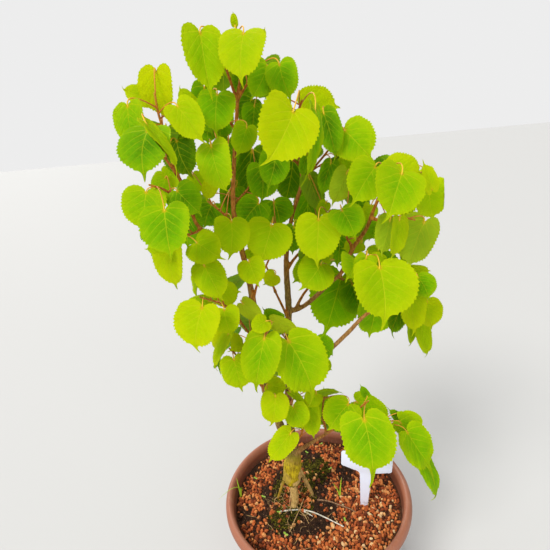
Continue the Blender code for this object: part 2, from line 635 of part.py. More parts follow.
def stem_path(stem):
    points = [seen_at(u, v, depth) for u, v, depth, _ in STEMS[stem]]
    radii = [radius * MM for _, _, _, radius in STEMS[stem]]
    return points, radii


def root_ends():
    """The straight plug that each root ends in, below the soil: its top, its foot and its radius."""
    ends = []
    for stem in ROOTS_IN_SOIL:
        points, radii = stem_path(stem)
        end = points[0] if stem == "root_leg" else points[-1]
        radius = radii[0] if stem == "root_leg" else radii[-1]
        foot = Vector((end.x, end.y, soil_level() - ROOT_DEPTH))
        ends.append((end, foot, radius))
    return ends


def twig_parts(entry):
    """The stub that stays on the tree and the twig beyond it, as points and radii."""
    points = [seen_at(*point) for point in entry["twig"]]
    near, far = walk(points, entry["stub"] * MM)
    radius = entry["radius"] * MM
    direction = (near[-1] - near[-2]).normalized()
    far = [far[0] + direction * GAP] + far[1:]
    near_radii = [radius * 1.5] + [radius * 1.15] * (len(near) - 1)
    far_radii = [radius * (1 - 0.45 * number / (len(far) - 1)) for number in range(len(far))]
    far.append(far[-1] + (far[-1] - far[-2]).normalized() * 4 * MM)
    far_radii.append(0.25 * MM)
    return near, near_radii, far, far_radii


def tree_shapes():
    """The tubes that make the roots, trunk, stems and branches, and the stubs of the shoots."""
    shapes = []
    for stem in STEMS:
        points, radii = stem_path(stem)
        sides = 10 if stem in ("base", "root_leg") else 6 if radii[0] > 6 * MM else 5
        shapes.append(tube(points, radii, sides))
    for end, foot, radius in root_ends():
        top = end + Vector((0, 0, 3 * MM))
        shapes.append(tube([foot, end.copy(), top], [radius * 0.9, radius * 0.95, radius * 0.8], 7))
    for entry in SHOOTS:
        near, near_radii, _, _ = twig_parts(entry)
        shapes.append(tube(near, near_radii, TWIG_SIDES))
    return shapes


def blade_frame(notch, tip, entry, jitter):
    """A blade's directions (along the midrib, across, out of its upper face), breadth and drip share."""
    along = (tip - notch).normalized()
    middle = notch.lerp(tip, 0.4)
    back = (EYE - middle).normalized()
    across = back.cross(along).normalized()
    facing = along.cross(across)
    seen_length = ((tip - notch) - back * (tip - notch).dot(back)).length
    if entry["turn"] is None:
        outward = Vector((middle.x - seen_at(275, 275, 0).x, 0, 0))
        share = max(-1.0, min(1.0, across.dot(outward) / (150 * MM)))
        turn = OUTWARD_TURN * share + TURN_JITTER * jitter
    else:
        turn = math.radians(entry["turn"]) + TURN_JITTER * jitter
    normal = facing * math.cos(turn) + across * math.sin(turn)
    across = across * math.cos(turn) - facing * math.sin(turn)
    if entry["under"]:
        normal = -normal
        across = -across
    breadth = entry["breadth"] * seen_length / math.cos(turn)
    return along, across, normal, breadth, entry["drip"]


def stalk_curve(root, notch, frame, arch):
    """Points of a leaf's stalk from its blade's notch back to the twig."""
    along = frame[0]
    reach = (notch - root).length
    away = (notch - root).normalized()
    first = root + (away + Vector((0, 0, arch))).normalized() * reach * 0.4
    second = notch - along * reach * 0.3 + Vector((0, 0, 1)) * reach * arch * 0.3
    points = []
    for t in STALK_STOPS:
        s = 1 - t
        points.append(root * s ** 3 + first * 3 * t * s * s + second * 3 * t * t * s + notch * t ** 3)
    return points


def stalk_rings(curve, frame, radius):
    """Three-sided rings along a stalk, each with two corners above and one below."""
    _, across, normal, _, _ = frame
    rings = []
    for number, point in enumerate(curve):
        tangent = (curve[max(number - 1, 0)] - curve[min(number + 1, len(curve) - 1)]).normalized()
        if number == 0:
            side = across
            above = normal
        else:
            side = (across - tangent * across.dot(tangent)).normalized()
            above = tangent.cross(side)
        upper = point + above * radius * 0.6
        rings.append([upper + side * radius, upper - side * radius, point - above * radius])
    return rings


def stalk_tube(root, notch, frame, arch, radius):
    """A leaf's stalk by itself, as a closed bar."""
    rings = stalk_rings(stalk_curve(root, notch, frame, arch), frame, radius)
    verts = [corner for ring in rings for corner in ring]
    faces = [[0, 2, 1], [len(verts) - 3, len(verts) - 2, len(verts) - 1]]
    return verts, faces + ring_faces(0, 3, len(rings))


def ring_faces(first, count, rings):
    """Faces between rings of corners that follow each other by number."""
    faces = []
    for ring in range(rings - 1):
        for step in range(count):
            a = first + ring * count + step
            b = first + ring * count + (step + 1) % count
            faces.append([a, b, b + count])
            faces.append([a, b + count, a + count])
    return faces


def blade_points(notch, length, frame):
    """Outline and midrib points of a heart-shaped blade with a drip tip, arched, folded and waved."""
    along, across, normal, breadth, drip = frame
    sides = YOUNG_SIDE if breadth < YOUNG_BREADTH else SMALL_SIDE if breadth < SMALL_BREADTH else BLADE_SIDE

    def place(share_across, share_along, wave):
        arch = BLADE_ARCH * length * 4 * share_along * (1 - share_along)
        lift = arch + BLADE_FOLD * abs(share_across) * breadth + wave * BLADE_WAVE * length
        return notch + along * (share_along * length) + across * (share_across * breadth) + normal * lift

    body = 1 - drip
    right = [place(x, body * y, (-1) ** number) for number, (x, y) in enumerate(sides)]
    left = [place(-x, body * y, -((-1) ** number)) for number, (x, y) in enumerate(sides)]
    return right + [place(0, 1, 0)] + left[::-1], [place(0, body * stop, 0) for stop in MIDRIB_STOPS]


def blade_shape(notch, length, frame, thick, curve=None):
    """A leaf blade, with its stalk grown out of the notch where a curve for it is given."""
    outline, rib = blade_points(notch, length, frame)
    half = frame[2] * (thick / 2)
    points = outline + rib
    verts = [point + half for point in points] + [point - half for point in points]
    total = len(points)
    count = len(outline)
    first = count
    second = count + 1
    tip = (count - 1) // 2
    split = tip // 2
    right_notch = 2 * total
    left_notch = right_notch + 1
    low_notch = right_notch + 2
    verts += stalk_rings([notch, notch - frame[0]], frame, thick)[0]
    faces = [[first, left_notch, right_notch]]
    for right in (True, False):
        chain = list(range(tip + 1)) if right else list(range(count - 1, tip - 1, -1))
        upper = [(first, right_notch if right else left_notch, chain[0])]
        lower = [(first, None, chain[0])]
        for number in range(tip):
            apex = first if number < split else second
            upper.append((apex, chain[number], chain[number + 1]))
            lower.append((apex, chain[number], chain[number + 1]))
        upper.append((first, chain[split], second))
        lower.append((first, chain[split], second))
        for a, b, c in upper:
            faces.append([a, b, c] if right else [c, b, a])
        for a, b, c in lower:
            b = low_notch if b is None else b + total
            faces.append([c + total, b, a + total] if right else [a + total, b, c + total])
    for number in range(count - 1):
        faces.append([number, number + total, number + 1 + total])
        faces.append([number, number + 1 + total, number + 1])
    faces.append([right_notch, low_notch, total])
    faces.append([right_notch, total, 0])
    faces.append([count - 1, count - 1 + total, low_notch])
    faces.append([count - 1, low_notch, left_notch])
    if curve is None:
        faces.append([right_notch, left_notch, low_notch])
    else:
        rings = stalk_rings(curve, frame, STALK_RADIUS)
        for ring in rings[1:]:
            verts += ring
        faces += ring_faces(right_notch, 3, len(rings))
        last = len(verts) - 3
        faces.append([last, last + 1, last + 2])
    return verts, faces


def make_outward(shape):
    """Turns a closed shape's faces outward if they point in."""
    verts, faces = shape
    volume = sum(verts[f[0]].dot(verts[f[1]].cross(verts[f[2]])) for f in faces)
    if volume < 0:
        faces = [face[::-1] for face in faces]
    return verts, faces


def solid_box(verts):
    low = Vector([min(v[axis] for v in verts) for axis in range(3)])
    high = Vector([max(v[axis] for v in verts) for axis in range(3)])
    return low, high


class Obstacles:
    """What is already placed, to keep new leaves clear of it."""

    def __init__(self):
        self.things = []

    def add(self, label, shape):
        low, high = solid_box(shape[0])
        self.things.append((label, BVHTree.FromPolygons(shape[0], shape[1]), low, high))

    def hits(self, shape, skip=()):
        """The labels of the placed things that a shape touches."""
        low, high = solid_box(shape[0])
        tree = None
        touched = []
        for label, other, other_low, other_high in self.things:
            if label in skip:
                continue
            if any(low[axis] > other_high[axis] or high[axis] < other_low[axis] for axis in range(3)):
                continue
            if tree is None:
                tree = BVHTree.FromPolygons(shape[0], shape[1])
            if tree.overlap(other):
                touched.append(label)
        return touched

    def hides(self, point):
        """Whether a placed blade stands between the eye and a point."""
        line = point - EYE
        reach = line.length - 1 * MM
        for label, other, _, _ in self.things:
            if label.startswith("blade") and other.ray_cast(EYE, line.normalized(), reach)[0]:
                return True
        return False


def settled_leaf(obstacles, label, notch, length, frame, root, arch):
    """Keeps a leaf's place clear of later ones, and returns its shape."""
    obstacles.add("blade " + label, blade_shape(notch, length, frame, BLADE_THICK))
    obstacles.add("stalk " + label, stalk_tube(root, notch, frame, arch, STALK_RADIUS))
    return make_outward(blade_shape(notch, length, frame, BLADE_THICK, stalk_curve(root, notch, frame, arch)))


def clash_cost(touched, shoot_name):
    """How bad it is to touch these things: leaves of one shoot may grow together, others may not."""
    return sum(3 if shoot_name in label.split() else 20 for label in touched)


def best_stalk(obstacles, notch, frame, twig, twig_label, used):
    """The root on the twig, and the arch, that lead a leaf's stalk past the fewest things."""
    best = None
    roots = sorted(twig, key=lambda root: (root - notch).length + 6 * MM * used.count(tuple(root)))
    for place, root in enumerate(roots[:6]):
        for arch in (0.5, 0.15, 0.9, -0.3):
            stalk = stalk_tube(root, notch, frame, arch, STALK_RADIUS + STALK_CLEAR)
            crossed = obstacles.hits(stalk, skip=(twig_label,))
            cost = clash_cost(crossed, twig_label.split()[1]) + place * 0.05
            if best is None or cost < best[0]:
                best = (cost, crossed, root, arch)
            if not crossed:
                return best
    return best


def place_leaf(obstacles, entry, twig, twig_label, label, jitter, used):
    """Moves a leaf along its line of sight, in small steps, to the first place where it touches nothing."""
    best = None
    for swing, step in SETTLE_TRIES:
        shift = (step + 1) // 2 * (2.5 if step % 2 else -2.5)
        notch = seen_at(entry["notch"][0], entry["notch"][1], entry["notch"][2] + shift)
        tip = seen_at(entry["tip"][0], entry["tip"][1], entry["tip"][2] + shift)
        length = (tip - notch).length
        frame = blade_frame(notch, tip, entry, jitter + swing)
        found = obstacles.hits(blade_shape(notch, length, frame, BLADE_THICK + 2 * BLADE_CLEAR))
        cost = clash_cost(found, twig_label.split()[1]) + step * 0.1 + abs(swing)
        if best is not None and cost >= best[0]:
            continue
        stalk_cost, crossed, root, arch = best_stalk(obstacles, notch, frame, twig, twig_label, used)
        if best is None or cost + stalk_cost < best[0]:
            best = (cost + stalk_cost, notch, length, frame, root, arch, found + crossed)
    _, notch, length, frame, root, arch, touched = best
    used.append(tuple(root))
    if touched:
        print("leaf", label, "touches", touched)
    return settled_leaf(obstacles, label, notch, length, frame, root, arch)


def place_back_leaf(obstacles, twig, twig_label, label, draw):
    """A leaf on the far side of a shoot, tried at random places until it is clear and out of sight."""
    for _ in range(60):
        root = twig[draw.randrange(len(twig))]
        heading = draw.uniform(-75, 75)
        level = Vector((math.sin(math.radians(heading)), math.cos(math.radians(heading)), 0))
        reach = draw.uniform(18, 34) * MM
        notch = root + level * reach + Vector((0, 0, draw.uniform(-4, 12) * MM))
        length = draw.uniform(42, 58) * MM
        droop = math.radians(draw.uniform(25, 70))
        along = level * math.cos(droop) - Vector((0, 0, math.sin(droop)))
        across = Vector((-level.y, level.x, 0))
        spin = Matrix.Rotation(math.radians(draw.uniform(-25, 25)), 3, along)
        across = spin @ across
        normal = along.cross(across)
        if normal.z < 0:
            across = -across
            normal = -normal
        frame = (along, across, normal, length * 0.92, DRIP_SHARE)
        corners = [notch + along * length * 0.35, notch + along * length * 0.9,
                   notch + along * length * 0.2 + across * length * 0.42,
                   notch + along * length * 0.2 - across * length * 0.42, notch]
        if sum(obstacles.hides(corner) for corner in corners) < 4:
            continue
        if obstacles.hits(blade_shape(notch, length, frame, BLADE_THICK + 2 * BLADE_CLEAR)):
            continue
        arch = 0.3
        if obstacles.hits(stalk_tube(root, notch, frame, arch, STALK_RADIUS + STALK_CLEAR), (twig_label,)):
            continue
        return settled_leaf(obstacles, label, notch, length, frame, root, arch)
    return None


def twig_roots(far):
    """Places along a twig where leaf stalks can start."""
    roots = []
    for number in range(len(far) - 2):
        start = far[number]
        end = far[number + 1]
        count = max(1, round((end - start).length / (5 * MM)))
        for step in range(count):
            roots.append(start.lerp(end, (step + 0.5) / count))
    return roots


def grow_shoots():
    """Places every leaf, front ones first, and returns the shapes of each shoot."""
    obstacles = Obstacles()
    for number, shape in enumerate(tree_shapes()):
        obstacles.add(f"tree {number}", shape)
    grown = {}
    for entry in SHOOTS:
        _, _, far, radii = twig_parts(entry)
        twig = tube(far, radii, TWIG_SIDES)
        touched = obstacles.hits(twig)
        if touched:
            print("twig", entry["name"], "touches", touched)
        obstacles.add("twig " + entry["name"], twig)
        grown[entry["name"]] = {"twig": twig, "roots": twig_roots(far), "leaves": []}
    draw = random.Random(11)
    for entry in SHOOTS:
        shoot_grown = grown[entry["name"]]
        used = []
        for number, item in enumerate(entry["leaves"]):
            jitter = draw.uniform(-1, 1)
            label = f"{entry['name']} {number}"
            shoot_grown["leaves"].append(place_leaf(obstacles, item, shoot_grown["roots"],
                                                    "twig " + entry["name"], label, jitter, used))
    for entry in SHOOTS:
        shoot_grown = grown[entry["name"]]
        for number in range(entry["back"]):
            label = f"{entry['name']} back {number}"
            placed = place_back_leaf(obstacles, shoot_grown["roots"], "twig " + entry["name"], label, draw)
            if placed:
                shoot_grown["leaves"].append(placed)
    return grown


def make_tree():
    bark = make_material("bark", (0.20, 0.13, 0.05), 0.85)
    tree = join_solids("tree", tree_shapes(), bark)
    smooth_shading(tree, 50)
    return tree


def make_shoots():
    for number, (name, grown) in enumerate(grow_shoots().items()):
        shade = scatter(number, 3)
        colour = (0.26 + 0.10 * shade, 0.44 + 0.10 * shade, 0.01)
        shapes = [grown["twig"]]
        shapes += grown["leaves"]
        join_solids(name, shapes, make_material(name + "_leaf", colour, 0.45))


def label_outline():
    """Outline of the T-shaped label, seen from the front: head on top, tapered stem below."""
    head_width, head_height = LABEL_HEAD
    stem_top, stem_low = LABEL_STEM
    points = [(0, -LABEL_BELOW), (stem_low / 2, -LABEL_BELOW + 8 * MM), (stem_low / 2, 0)]
    shoulder = LABEL_ABOVE + LABEL_SHOULDER
    for step in range(4):
        angle = math.radians(180 - 30 * step)
        points.append((stem_top / 2 + LABEL_FILLET + LABEL_FILLET * math.cos(angle),
                       LABEL_ABOVE - LABEL_FILLET + LABEL_FILLET * math.sin(angle)))
    corners = [(head_width / 2, shoulder, -90), (head_width / 2, LABEL_ABOVE + head_height, 0)]
    for x, z, start in corners:
        inset_z = LABEL_CORNER if start == -90 else -LABEL_CORNER
        for step in range(4):
            angle = math.radians(start + 30 * step)
            points.append((x - LABEL_CORNER + LABEL_CORNER * math.cos(angle),
                           z + inset_z + LABEL_CORNER * math.sin(angle)))
    return points + [(-x, z) for x, z in reversed(points[1:])]


def label_frame():
    """Turns the label's outline to where it stands."""
    foot = seen_on_level(*LABEL_FOOT, soil_level())
    turn = Matrix.Rotation(LABEL_YAW, 4, "Z") @ Matrix.Rotation(LABEL_ROLL, 4, "Y")
    return Matrix.Translation(foot) @ turn @ Matrix.Rotation(LABEL_LEAN, 4, "X")


def plate(outline, thick, place):
    """A flat plate from an outline in x and z."""
    count = len(outline)
    verts = [place @ Vector((x, -thick / 2, z)) for x, z in outline]
    verts += [place @ Vector((x, thick / 2, z)) for x, z in outline]
    faces = [list(range(count)), list(range(count, 2 * count))[::-1]]
    for number in range(count):
        following = (number + 1) % count
        faces.append([number, number + count, following + count, following])
    return make_outward((verts, faces))


def make_label():
    plastic = make_material("label_plastic", (0.80, 0.82, 0.90), 0.35)
    return make_object("plant_label", plate(label_outline(), LABEL_THICK, label_frame()), plastic)


def draped(soil_tree, route, radius):
    """Points of a route seen on the soil, laid on its surface with a hair of air below."""
    points = []
    for u, v in route:
        spot = seen_on_level(u, v, soil_level())
        top = highest_soil(soil_tree, spot, radius)
        points.append(Vector((spot.x, spot.y, top + radius + GAP)))
    return points


def highest_soil(soil_tree, spot, reach):
    """The highest point of the soil within a small square round a spot."""
    top = soil_level() - 1
    for dx in (-reach, 0, reach):
        for dy in (-reach, 0, reach):
            hit = soil_tree.ray_cast(Vector((spot.x + dx, spot.y + dy, 1)), Vector((0, 0, -1)))[0]
            if hit:
                top = max(top, hit.z)
    return top


def make_soil():
    earth = make_material("gravel_soil", (0.25, 0.09, 0.04), 0.95)
    soil = make_object("soil", soil_shape(), earth)
    for end, foot, radius in root_ends():
        low = foot - Vector((0, 0, GAP))
        high = Vector((end.x, end.y, POT_HEIGHT))
        cut(soil, make_object("root_hole", tube([low, high], [radius + GAP] * 2, 8)))
    stem_low = LABEL_STEM[1]
    slot = [(-stem_low / 2 - GAP, -LABEL_BELOW - GAP), (stem_low / 2 + GAP, -LABEL_BELOW - GAP),
            (stem_low / 2 + GAP, 10 * MM), (-stem_low / 2 - GAP, 10 * MM)]
    cut(soil, make_object("label_slot", plate(slot, LABEL_THICK + 2 * GAP, label_frame())))
    for tuft in (GRASS_LEFT, GRASS_RIGHT):
        cut(soil, make_object("grass_hole", grass_plug(tuft, GAP)))
    smooth_shading(soil, 25)
    return soil


def make_soil_things(soil_tree):
    dry = make_material("dry_stalk", (0.62, 0.60, 0.52), 0.7)
    main = draped(soil_tree, DRY_STALK, DRY_STALK_RADIUS)
    side = draped(soil_tree, DRY_STALK_SIDE, DRY_STALK_RADIUS)
    side[0] = main[3].copy()
    count = len(main)
    radii = [DRY_STALK_RADIUS * (1 - 0.4 * abs(2 * number / (count - 1) - 1)) for number in range(count)]
    shapes = [tube(main, radii, 5), tube(side, [0.8 * DRY_STALK_RADIUS] * 3, 5)]
    join_solids("dry_stalk", shapes, dry)
    route = draped(soil_tree, FALLEN_TWIG, FALLEN_TWIG_RADIUS)
    radii = [FALLEN_TWIG_RADIUS * (1 - 0.35 * number / (len(route) - 1)) for number in range(len(route))]
    make_object("fallen_twig", tube(route, radii, 5), make_material("fallen_twig", (0.30, 0.17, 0.09), 0.85))


def grass_foot(tuft):
    """Where a tuft stands."""
    u, v, _ = tuft[0][0]
    return seen_on_level(u, v, soil_level())


def grass_plug(tuft, clear):
    """The buried foot of a tuft, or with some clearance the hole that it stands in."""
    foot = grass_foot(tuft)
    low = foot - Vector((0, 0, GRASS_PLUG_DEPTH + clear))
    high = foot + Vector((0, 0, (3 if clear == 0 else 10) * MM))
    return tube([low, high], [GRASS_PLUG + clear, 0.7 * GRASS_PLUG + clear], 6)


def grass_blade(foot, route):
    """A thin tapered blade of grass, as seen in the picture."""
    points = [seen_on_level(u, v, soil_level() + height * MM) for u, v, height in route]
    points[0] = foot
    last = len(points) - 1
    verts = []
    for number, point in enumerate(points):
        along = (points[min(number + 1, last)] - points[max(number - 1, 0)]).normalized()
        width = GRASS_WIDTH / 2 * (1 - 0.8 * number / last)
        side = along.cross(Vector((0, 1, 0))).normalized() * width
        front = Vector((0, -GRASS_THICK / 2, 0))
        verts += [point - side + front, point + side + front, point + side - front, point - side - front]
    faces = [[0, 2, 1], [0, 3, 2]] + ring_faces(0, 4, len(points))
    end = 4 * last
    faces += [[end, end + 1, end + 2], [end, end + 2, end + 3]]
    return make_outward((verts, faces))


def make_grass():
    green = make_material("grass", (0.25, 0.42, 0.05), 0.5)
    for name, tuft in (("grass_left", GRASS_LEFT), ("grass_right", GRASS_RIGHT)):
        shapes = [grass_plug(tuft, 0)] + [grass_blade(grass_foot(tuft), route) for route in tuft]
        join_solids(name, shapes, green)


def main():
    clear_scene()
    make_pot()
    soil = make_soil()
    points = [vertex.co.copy() for vertex in soil.data.vertices]
    polygons = [list(polygon.vertices) for polygon in soil.data.polygons]
    make_soil_things(BVHTree.FromPolygons(points, polygons))
    make_grass()
    make_label()
    make_tree()
    make_shoots()


main()
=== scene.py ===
import json
import math
import random

import bmesh
import bpy
import numpy as np
from mathutils import Matrix, Vector, noise
from mathutils.kdtree import KDTree

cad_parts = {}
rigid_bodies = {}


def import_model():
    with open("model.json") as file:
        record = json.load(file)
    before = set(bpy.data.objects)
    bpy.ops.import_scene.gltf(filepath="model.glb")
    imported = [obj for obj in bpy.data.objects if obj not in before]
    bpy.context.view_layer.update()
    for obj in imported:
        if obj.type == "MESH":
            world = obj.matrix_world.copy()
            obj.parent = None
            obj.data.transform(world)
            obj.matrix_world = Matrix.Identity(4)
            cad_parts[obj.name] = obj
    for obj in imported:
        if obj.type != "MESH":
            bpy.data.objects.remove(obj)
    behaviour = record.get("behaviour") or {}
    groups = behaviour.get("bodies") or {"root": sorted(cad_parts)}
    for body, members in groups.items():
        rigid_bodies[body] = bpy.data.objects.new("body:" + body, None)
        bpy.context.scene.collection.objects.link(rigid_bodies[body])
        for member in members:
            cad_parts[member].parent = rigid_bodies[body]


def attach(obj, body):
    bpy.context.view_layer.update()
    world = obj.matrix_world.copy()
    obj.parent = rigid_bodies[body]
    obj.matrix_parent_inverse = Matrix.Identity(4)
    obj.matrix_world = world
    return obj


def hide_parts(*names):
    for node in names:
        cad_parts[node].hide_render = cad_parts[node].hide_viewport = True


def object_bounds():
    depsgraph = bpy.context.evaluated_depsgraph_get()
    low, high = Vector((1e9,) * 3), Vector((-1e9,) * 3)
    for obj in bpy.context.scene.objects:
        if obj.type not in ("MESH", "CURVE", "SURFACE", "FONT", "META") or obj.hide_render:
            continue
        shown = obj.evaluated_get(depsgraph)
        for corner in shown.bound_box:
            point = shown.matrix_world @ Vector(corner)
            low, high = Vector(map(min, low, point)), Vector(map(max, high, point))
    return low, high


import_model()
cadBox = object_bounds()
mm = 0.001

outlook = {
    "eye": Vector((-0.029, -0.428, 0.5645)),
    "pitch": math.radians(18.2),
    "roll": math.radians(-5.2),
    "focal": 413.0,       # pixels
    "pictureSize": 550,
    "crownPlane": -0.029,
    "spread": 1.55,       # how far the crown widens in depth
    "spreadFrom": 450.0,  # v where the widening starts, and where it is full
    "spreadFull": 330.0,
}


def viewAxes():
    ahead = Vector((0, math.cos(outlook["pitch"]), -math.sin(outlook["pitch"])))
    above = Vector((0, math.sin(outlook["pitch"]), math.cos(outlook["pitch"])))
    across = Vector((math.cos(outlook["roll"]), 0, 0)) + above * math.sin(outlook["roll"])
    upward = Vector((-math.sin(outlook["roll"]), 0, 0)) + above * math.cos(outlook["roll"])
    return ahead, across, upward


def sightLine(u, v):
    ahead, across, upward = viewAxes()
    middle = outlook["pictureSize"] / 2
    return ahead + across * ((u - middle) / outlook["focal"]) - upward * ((v - middle) / outlook["focal"])


def seenAt(u, v, depth):
    # depth is in millimetres behind the middle plane of the crown
    line = sightLine(u, v)
    rise = (outlook["spreadFrom"] - v) / (outlook["spreadFrom"] - outlook["spreadFull"])
    spread = 1 + (outlook["spread"] - 1) * max(0.0, min(1.0, rise))
    away = outlook["crownPlane"] + spread * depth * mm - outlook["eye"].y
    return outlook["eye"] + line * (away / line.y)


def seenOnLevel(u, v, level):
    line = sightLine(u, v)
    return outlook["eye"] + line * ((level - outlook["eye"].z) / line.z)


def seenRoute(route, level):
    # u, v and height in mm over the level
    return [seenOnLevel(u, v, level + height * mm) for u, v, height in route]


def placeCamera():
    ahead, across, upward = viewAxes()
    camera = bpy.data.objects.new("camera", bpy.data.cameras.new("camera"))
    camera.data.sensor_width = 36
    camera.data.lens = outlook["focal"] * camera.data.sensor_width / outlook["pictureSize"]
    camera.data.clip_start = 0.01
    turned = Matrix((across, upward, -ahead)).transposed().to_4x4()
    camera.matrix_world = Matrix.Translation(outlook["eye"]) @ turned
    bpy.context.scene.collection.objects.link(camera)
    bpy.context.scene.camera = camera


placeCamera()
print("camera placed")


# Node trees: a field is what a socket gives, and formulas are written with it

def put(socket, value):
    if isinstance(value, Field):
        socket.id_data.links.new(value.socket, socket)
    else:
        socket.default_value = value


def addNode(tree, kind, inputs=None, **settings):
    node = tree.nodes.new(kind)
    for name, value in settings.items():
        setattr(node, name, value)
    for name, value in (inputs or {}).items():
        put(node.inputs[name], value)
    return node


def made(tree, kind, inputs=None, output=0, **settings):
    return Field(addNode(tree, kind, inputs, **settings).outputs[output])


class Field:
    def __init__(self, socket):
        self.socket = socket
        self.tree = socket.id_data

    def to(self, kind, inputs=None, output=0, **settings):
        # a node that takes this field as its first input
        return made(self.tree, kind, {0: self, **(inputs or {})}, output, **settings)

    def calc(self, operation, *others):
        return self.to("ShaderNodeMath", dict(enumerate(others, 1)), operation=operation)

    def __add__(self, other):
        return self.calc("ADD", other)

    def __sub__(self, other):
        return self.calc("SUBTRACT", other)

    def __mul__(self, other):
        return self.calc("MULTIPLY", other)

    def __truediv__(self, other):
        return self.calc("DIVIDE", other)

    def __rsub__(self, other):
        return made(self.tree, "ShaderNodeMath", {0: other, 1: self}, operation="SUBTRACT")

    __radd__ = __add__
    __rmul__ = __mul__

    def moved(self, step):
        return self.to("ShaderNodeVectorMath", {1: step}, operation="ADD")

    def stretched(self, *factors):
        return self.to("ShaderNodeVectorMath", {1: factors}, operation="MULTIPLY")

    def scaled(self, factor):
        return self.to("ShaderNodeVectorMath", {"Scale": factor}, operation="SCALE")

    def length(self):
        return self.to("ShaderNodeVectorMath", output="Value", operation="LENGTH")

    def parts(self):
        return [Field(part) for part in self.to("ShaderNodeSeparateXYZ").socket.node.outputs]

    def ease(self, low, high, first=0.0, last=1.0):
        # a soft step from first to last while the field goes from low to high
        ends = {1: low, 2: high, 3: first, 4: last}
        return self.to("ShaderNodeMapRange", ends, interpolation_type="SMOOTHSTEP")

    def speckle(self, scale, detail=3.0, roughness=0.5):
        return self.to("ShaderNodeTexNoise", {"Scale": scale, "Detail": detail, "Roughness": roughness})

    def cells(self, scale, feature="F1"):
        return self.to("ShaderNodeTexVoronoi", {"Scale": scale}, feature=feature)

    def ramp(self, stops):
        colour = self.to("ShaderNodeValToRGB")
        elements = colour.socket.node.color_ramp.elements
        while len(elements) < len(stops):
            elements.new(1.0)
        for element, (place, shade) in zip(elements, stops):
            element.position = place
            element.color = (*shade, 1)
        return colour

    def blend(self, first, second):
        # from the first colour to the second while the field goes from 0 to 1
        ends = [colour if isinstance(colour, Field) else (*colour, 1) for colour in (first, second)]
        return self.to("ShaderNodeMix", {6: ends[0], 7: ends[1]}, 2, data_type="RGBA")

    def keep(self, name, value, kind="FLOAT", domain="POINT"):
        # this geometry with the value stored on it
        inputs = {"Name": name, "Value": value}
        return self.to("GeometryNodeStoreNamedAttribute", inputs, data_type=kind, domain=domain)

    def realized(self):
        return self.to("GeometryNodeRealizeInstances")

    def painted(self, finish):
        return self.realized().to("GeometryNodeSetMaterial", {"Material": finish})


def combined(tree, x, y, z=0.0):
    return made(tree, "ShaderNodeCombineXYZ", {"X": x, "Y": y, "Z": z})


def stored(tree, name, kind="FLOAT"):
    return made(tree, "GeometryNodeInputNamedAttribute", {"Name": name}, data_type=kind)


def newTree(name, **inputs):
    tree = bpy.data.node_groups.new(name, "GeometryNodeTree")
    for way in ("INPUT", "OUTPUT"):
        tree.interface.new_socket("Geometry", in_out=way, socket_type="NodeSocketGeometry")
    for kind, labels in inputs.items():
        for label in labels:
            tree.interface.new_socket(label, in_out="INPUT", socket_type="NodeSocket" + kind)
    given = {socket.name: Field(socket) for socket in addNode(tree, "NodeGroupInput").outputs}
    return tree, given, addNode(tree, "NodeGroupOutput").inputs["Geometry"]


class Finish:
    # a material, whose colour and relief come from fields
    def __init__(self, name, roughness, specular):
        self.material = bpy.data.materials.new(name)
        self.material.use_nodes = True
        self.tree = self.material.node_tree
        self.shader = self.tree.nodes["Principled BSDF"]
        self.shader.inputs["Specular IOR Level"].default_value = specular
        self.shader.inputs["Roughness"].default_value = roughness

    def place(self):
        return made(self.tree, "ShaderNodeTexCoord", output="Object")

    def own(self, name, output="Fac"):
        return made(self.tree, "ShaderNodeAttribute", output=output, attribute_name=name)

    def bump(self, height, distance, strength=1.0):
        inputs = {"Height": height, "Distance": distance, "Strength": strength}
        normal = made(self.tree, "ShaderNodeBump", inputs)
        put(self.shader.inputs["Normal"], normal)
        return normal

    def done(self, colour, height=None, distance=0.0):
        put(self.shader.inputs["Base Color"], colour)
        if height:
            self.bump(height, distance)
        return self.material


# Objects and meshes

def newObject(name, data):
    thing = bpy.data.objects.new(name, data)
    bpy.context.scene.collection.objects.link(thing)
    return thing


def newMesh(name, verts, faces):
    mesh = bpy.data.meshes.new(name)
    mesh.from_pydata([tuple(vert) for vert in verts], [], faces)
    return mesh


def meshObject(name, verts, faces):
    mesh = newMesh(name, verts, faces)
    mesh.validate()
    return newObject(name, mesh)


def settled(source, name):
    # what the modifiers give, as a plain mesh
    depsgraph = bpy.context.evaluated_depsgraph_get()
    shown = source.evaluated_get(depsgraph)
    mesh = bpy.data.meshes.new_from_object(shown, preserve_all_data_layers=True, depsgraph=depsgraph)
    source.modifiers.clear()
    bpy.data.objects.remove(source)
    return newObject(name, mesh)


def madeByTree(source, tree, name, values):
    modifier = source.modifiers.new("shape", "NODES")
    modifier.node_group = tree
    for item in tree.interface.items_tree:
        if item.in_out == "INPUT" and item.name in values:
            modifier[item.identifier] = values[item.name]
    return settled(source, name)


def keepAttributes(piece, *names):
    attributes = piece.data.attributes
    for name in [a.name for a in attributes if not a.is_internal and not a.is_required]:
        if name not in names and name not in ("sharp_face", "sharp_edge", "material_index"):
            attributes.remove(attributes[name])


def smoothShaded(piece, material, sharp):
    # smooth but for edges sharper than this angle in degrees
    piece.data.shade_smooth()
    piece.data.set_sharp_from_angle(angle=math.radians(sharp))
    piece.data.materials.clear()
    piece.data.materials.append(material)


def finishPiece(piece, slot, *nodes):
    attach(piece, "root")
    if nodes:
        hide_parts(*nodes)
    return piece


def setPoints(mesh, name, values, kind="FLOAT"):
    layer = mesh.attributes.new(name, kind, "POINT")
    field = "vector" if kind == "FLOAT_VECTOR" else "value"
    layer.data.foreach_set(field, np.array(values, dtype=np.int32 if kind == "INT" else np.float32).ravel())


def clamped(value):
    return min(1.0, max(0.0, value))


# Shapes that several pieces use

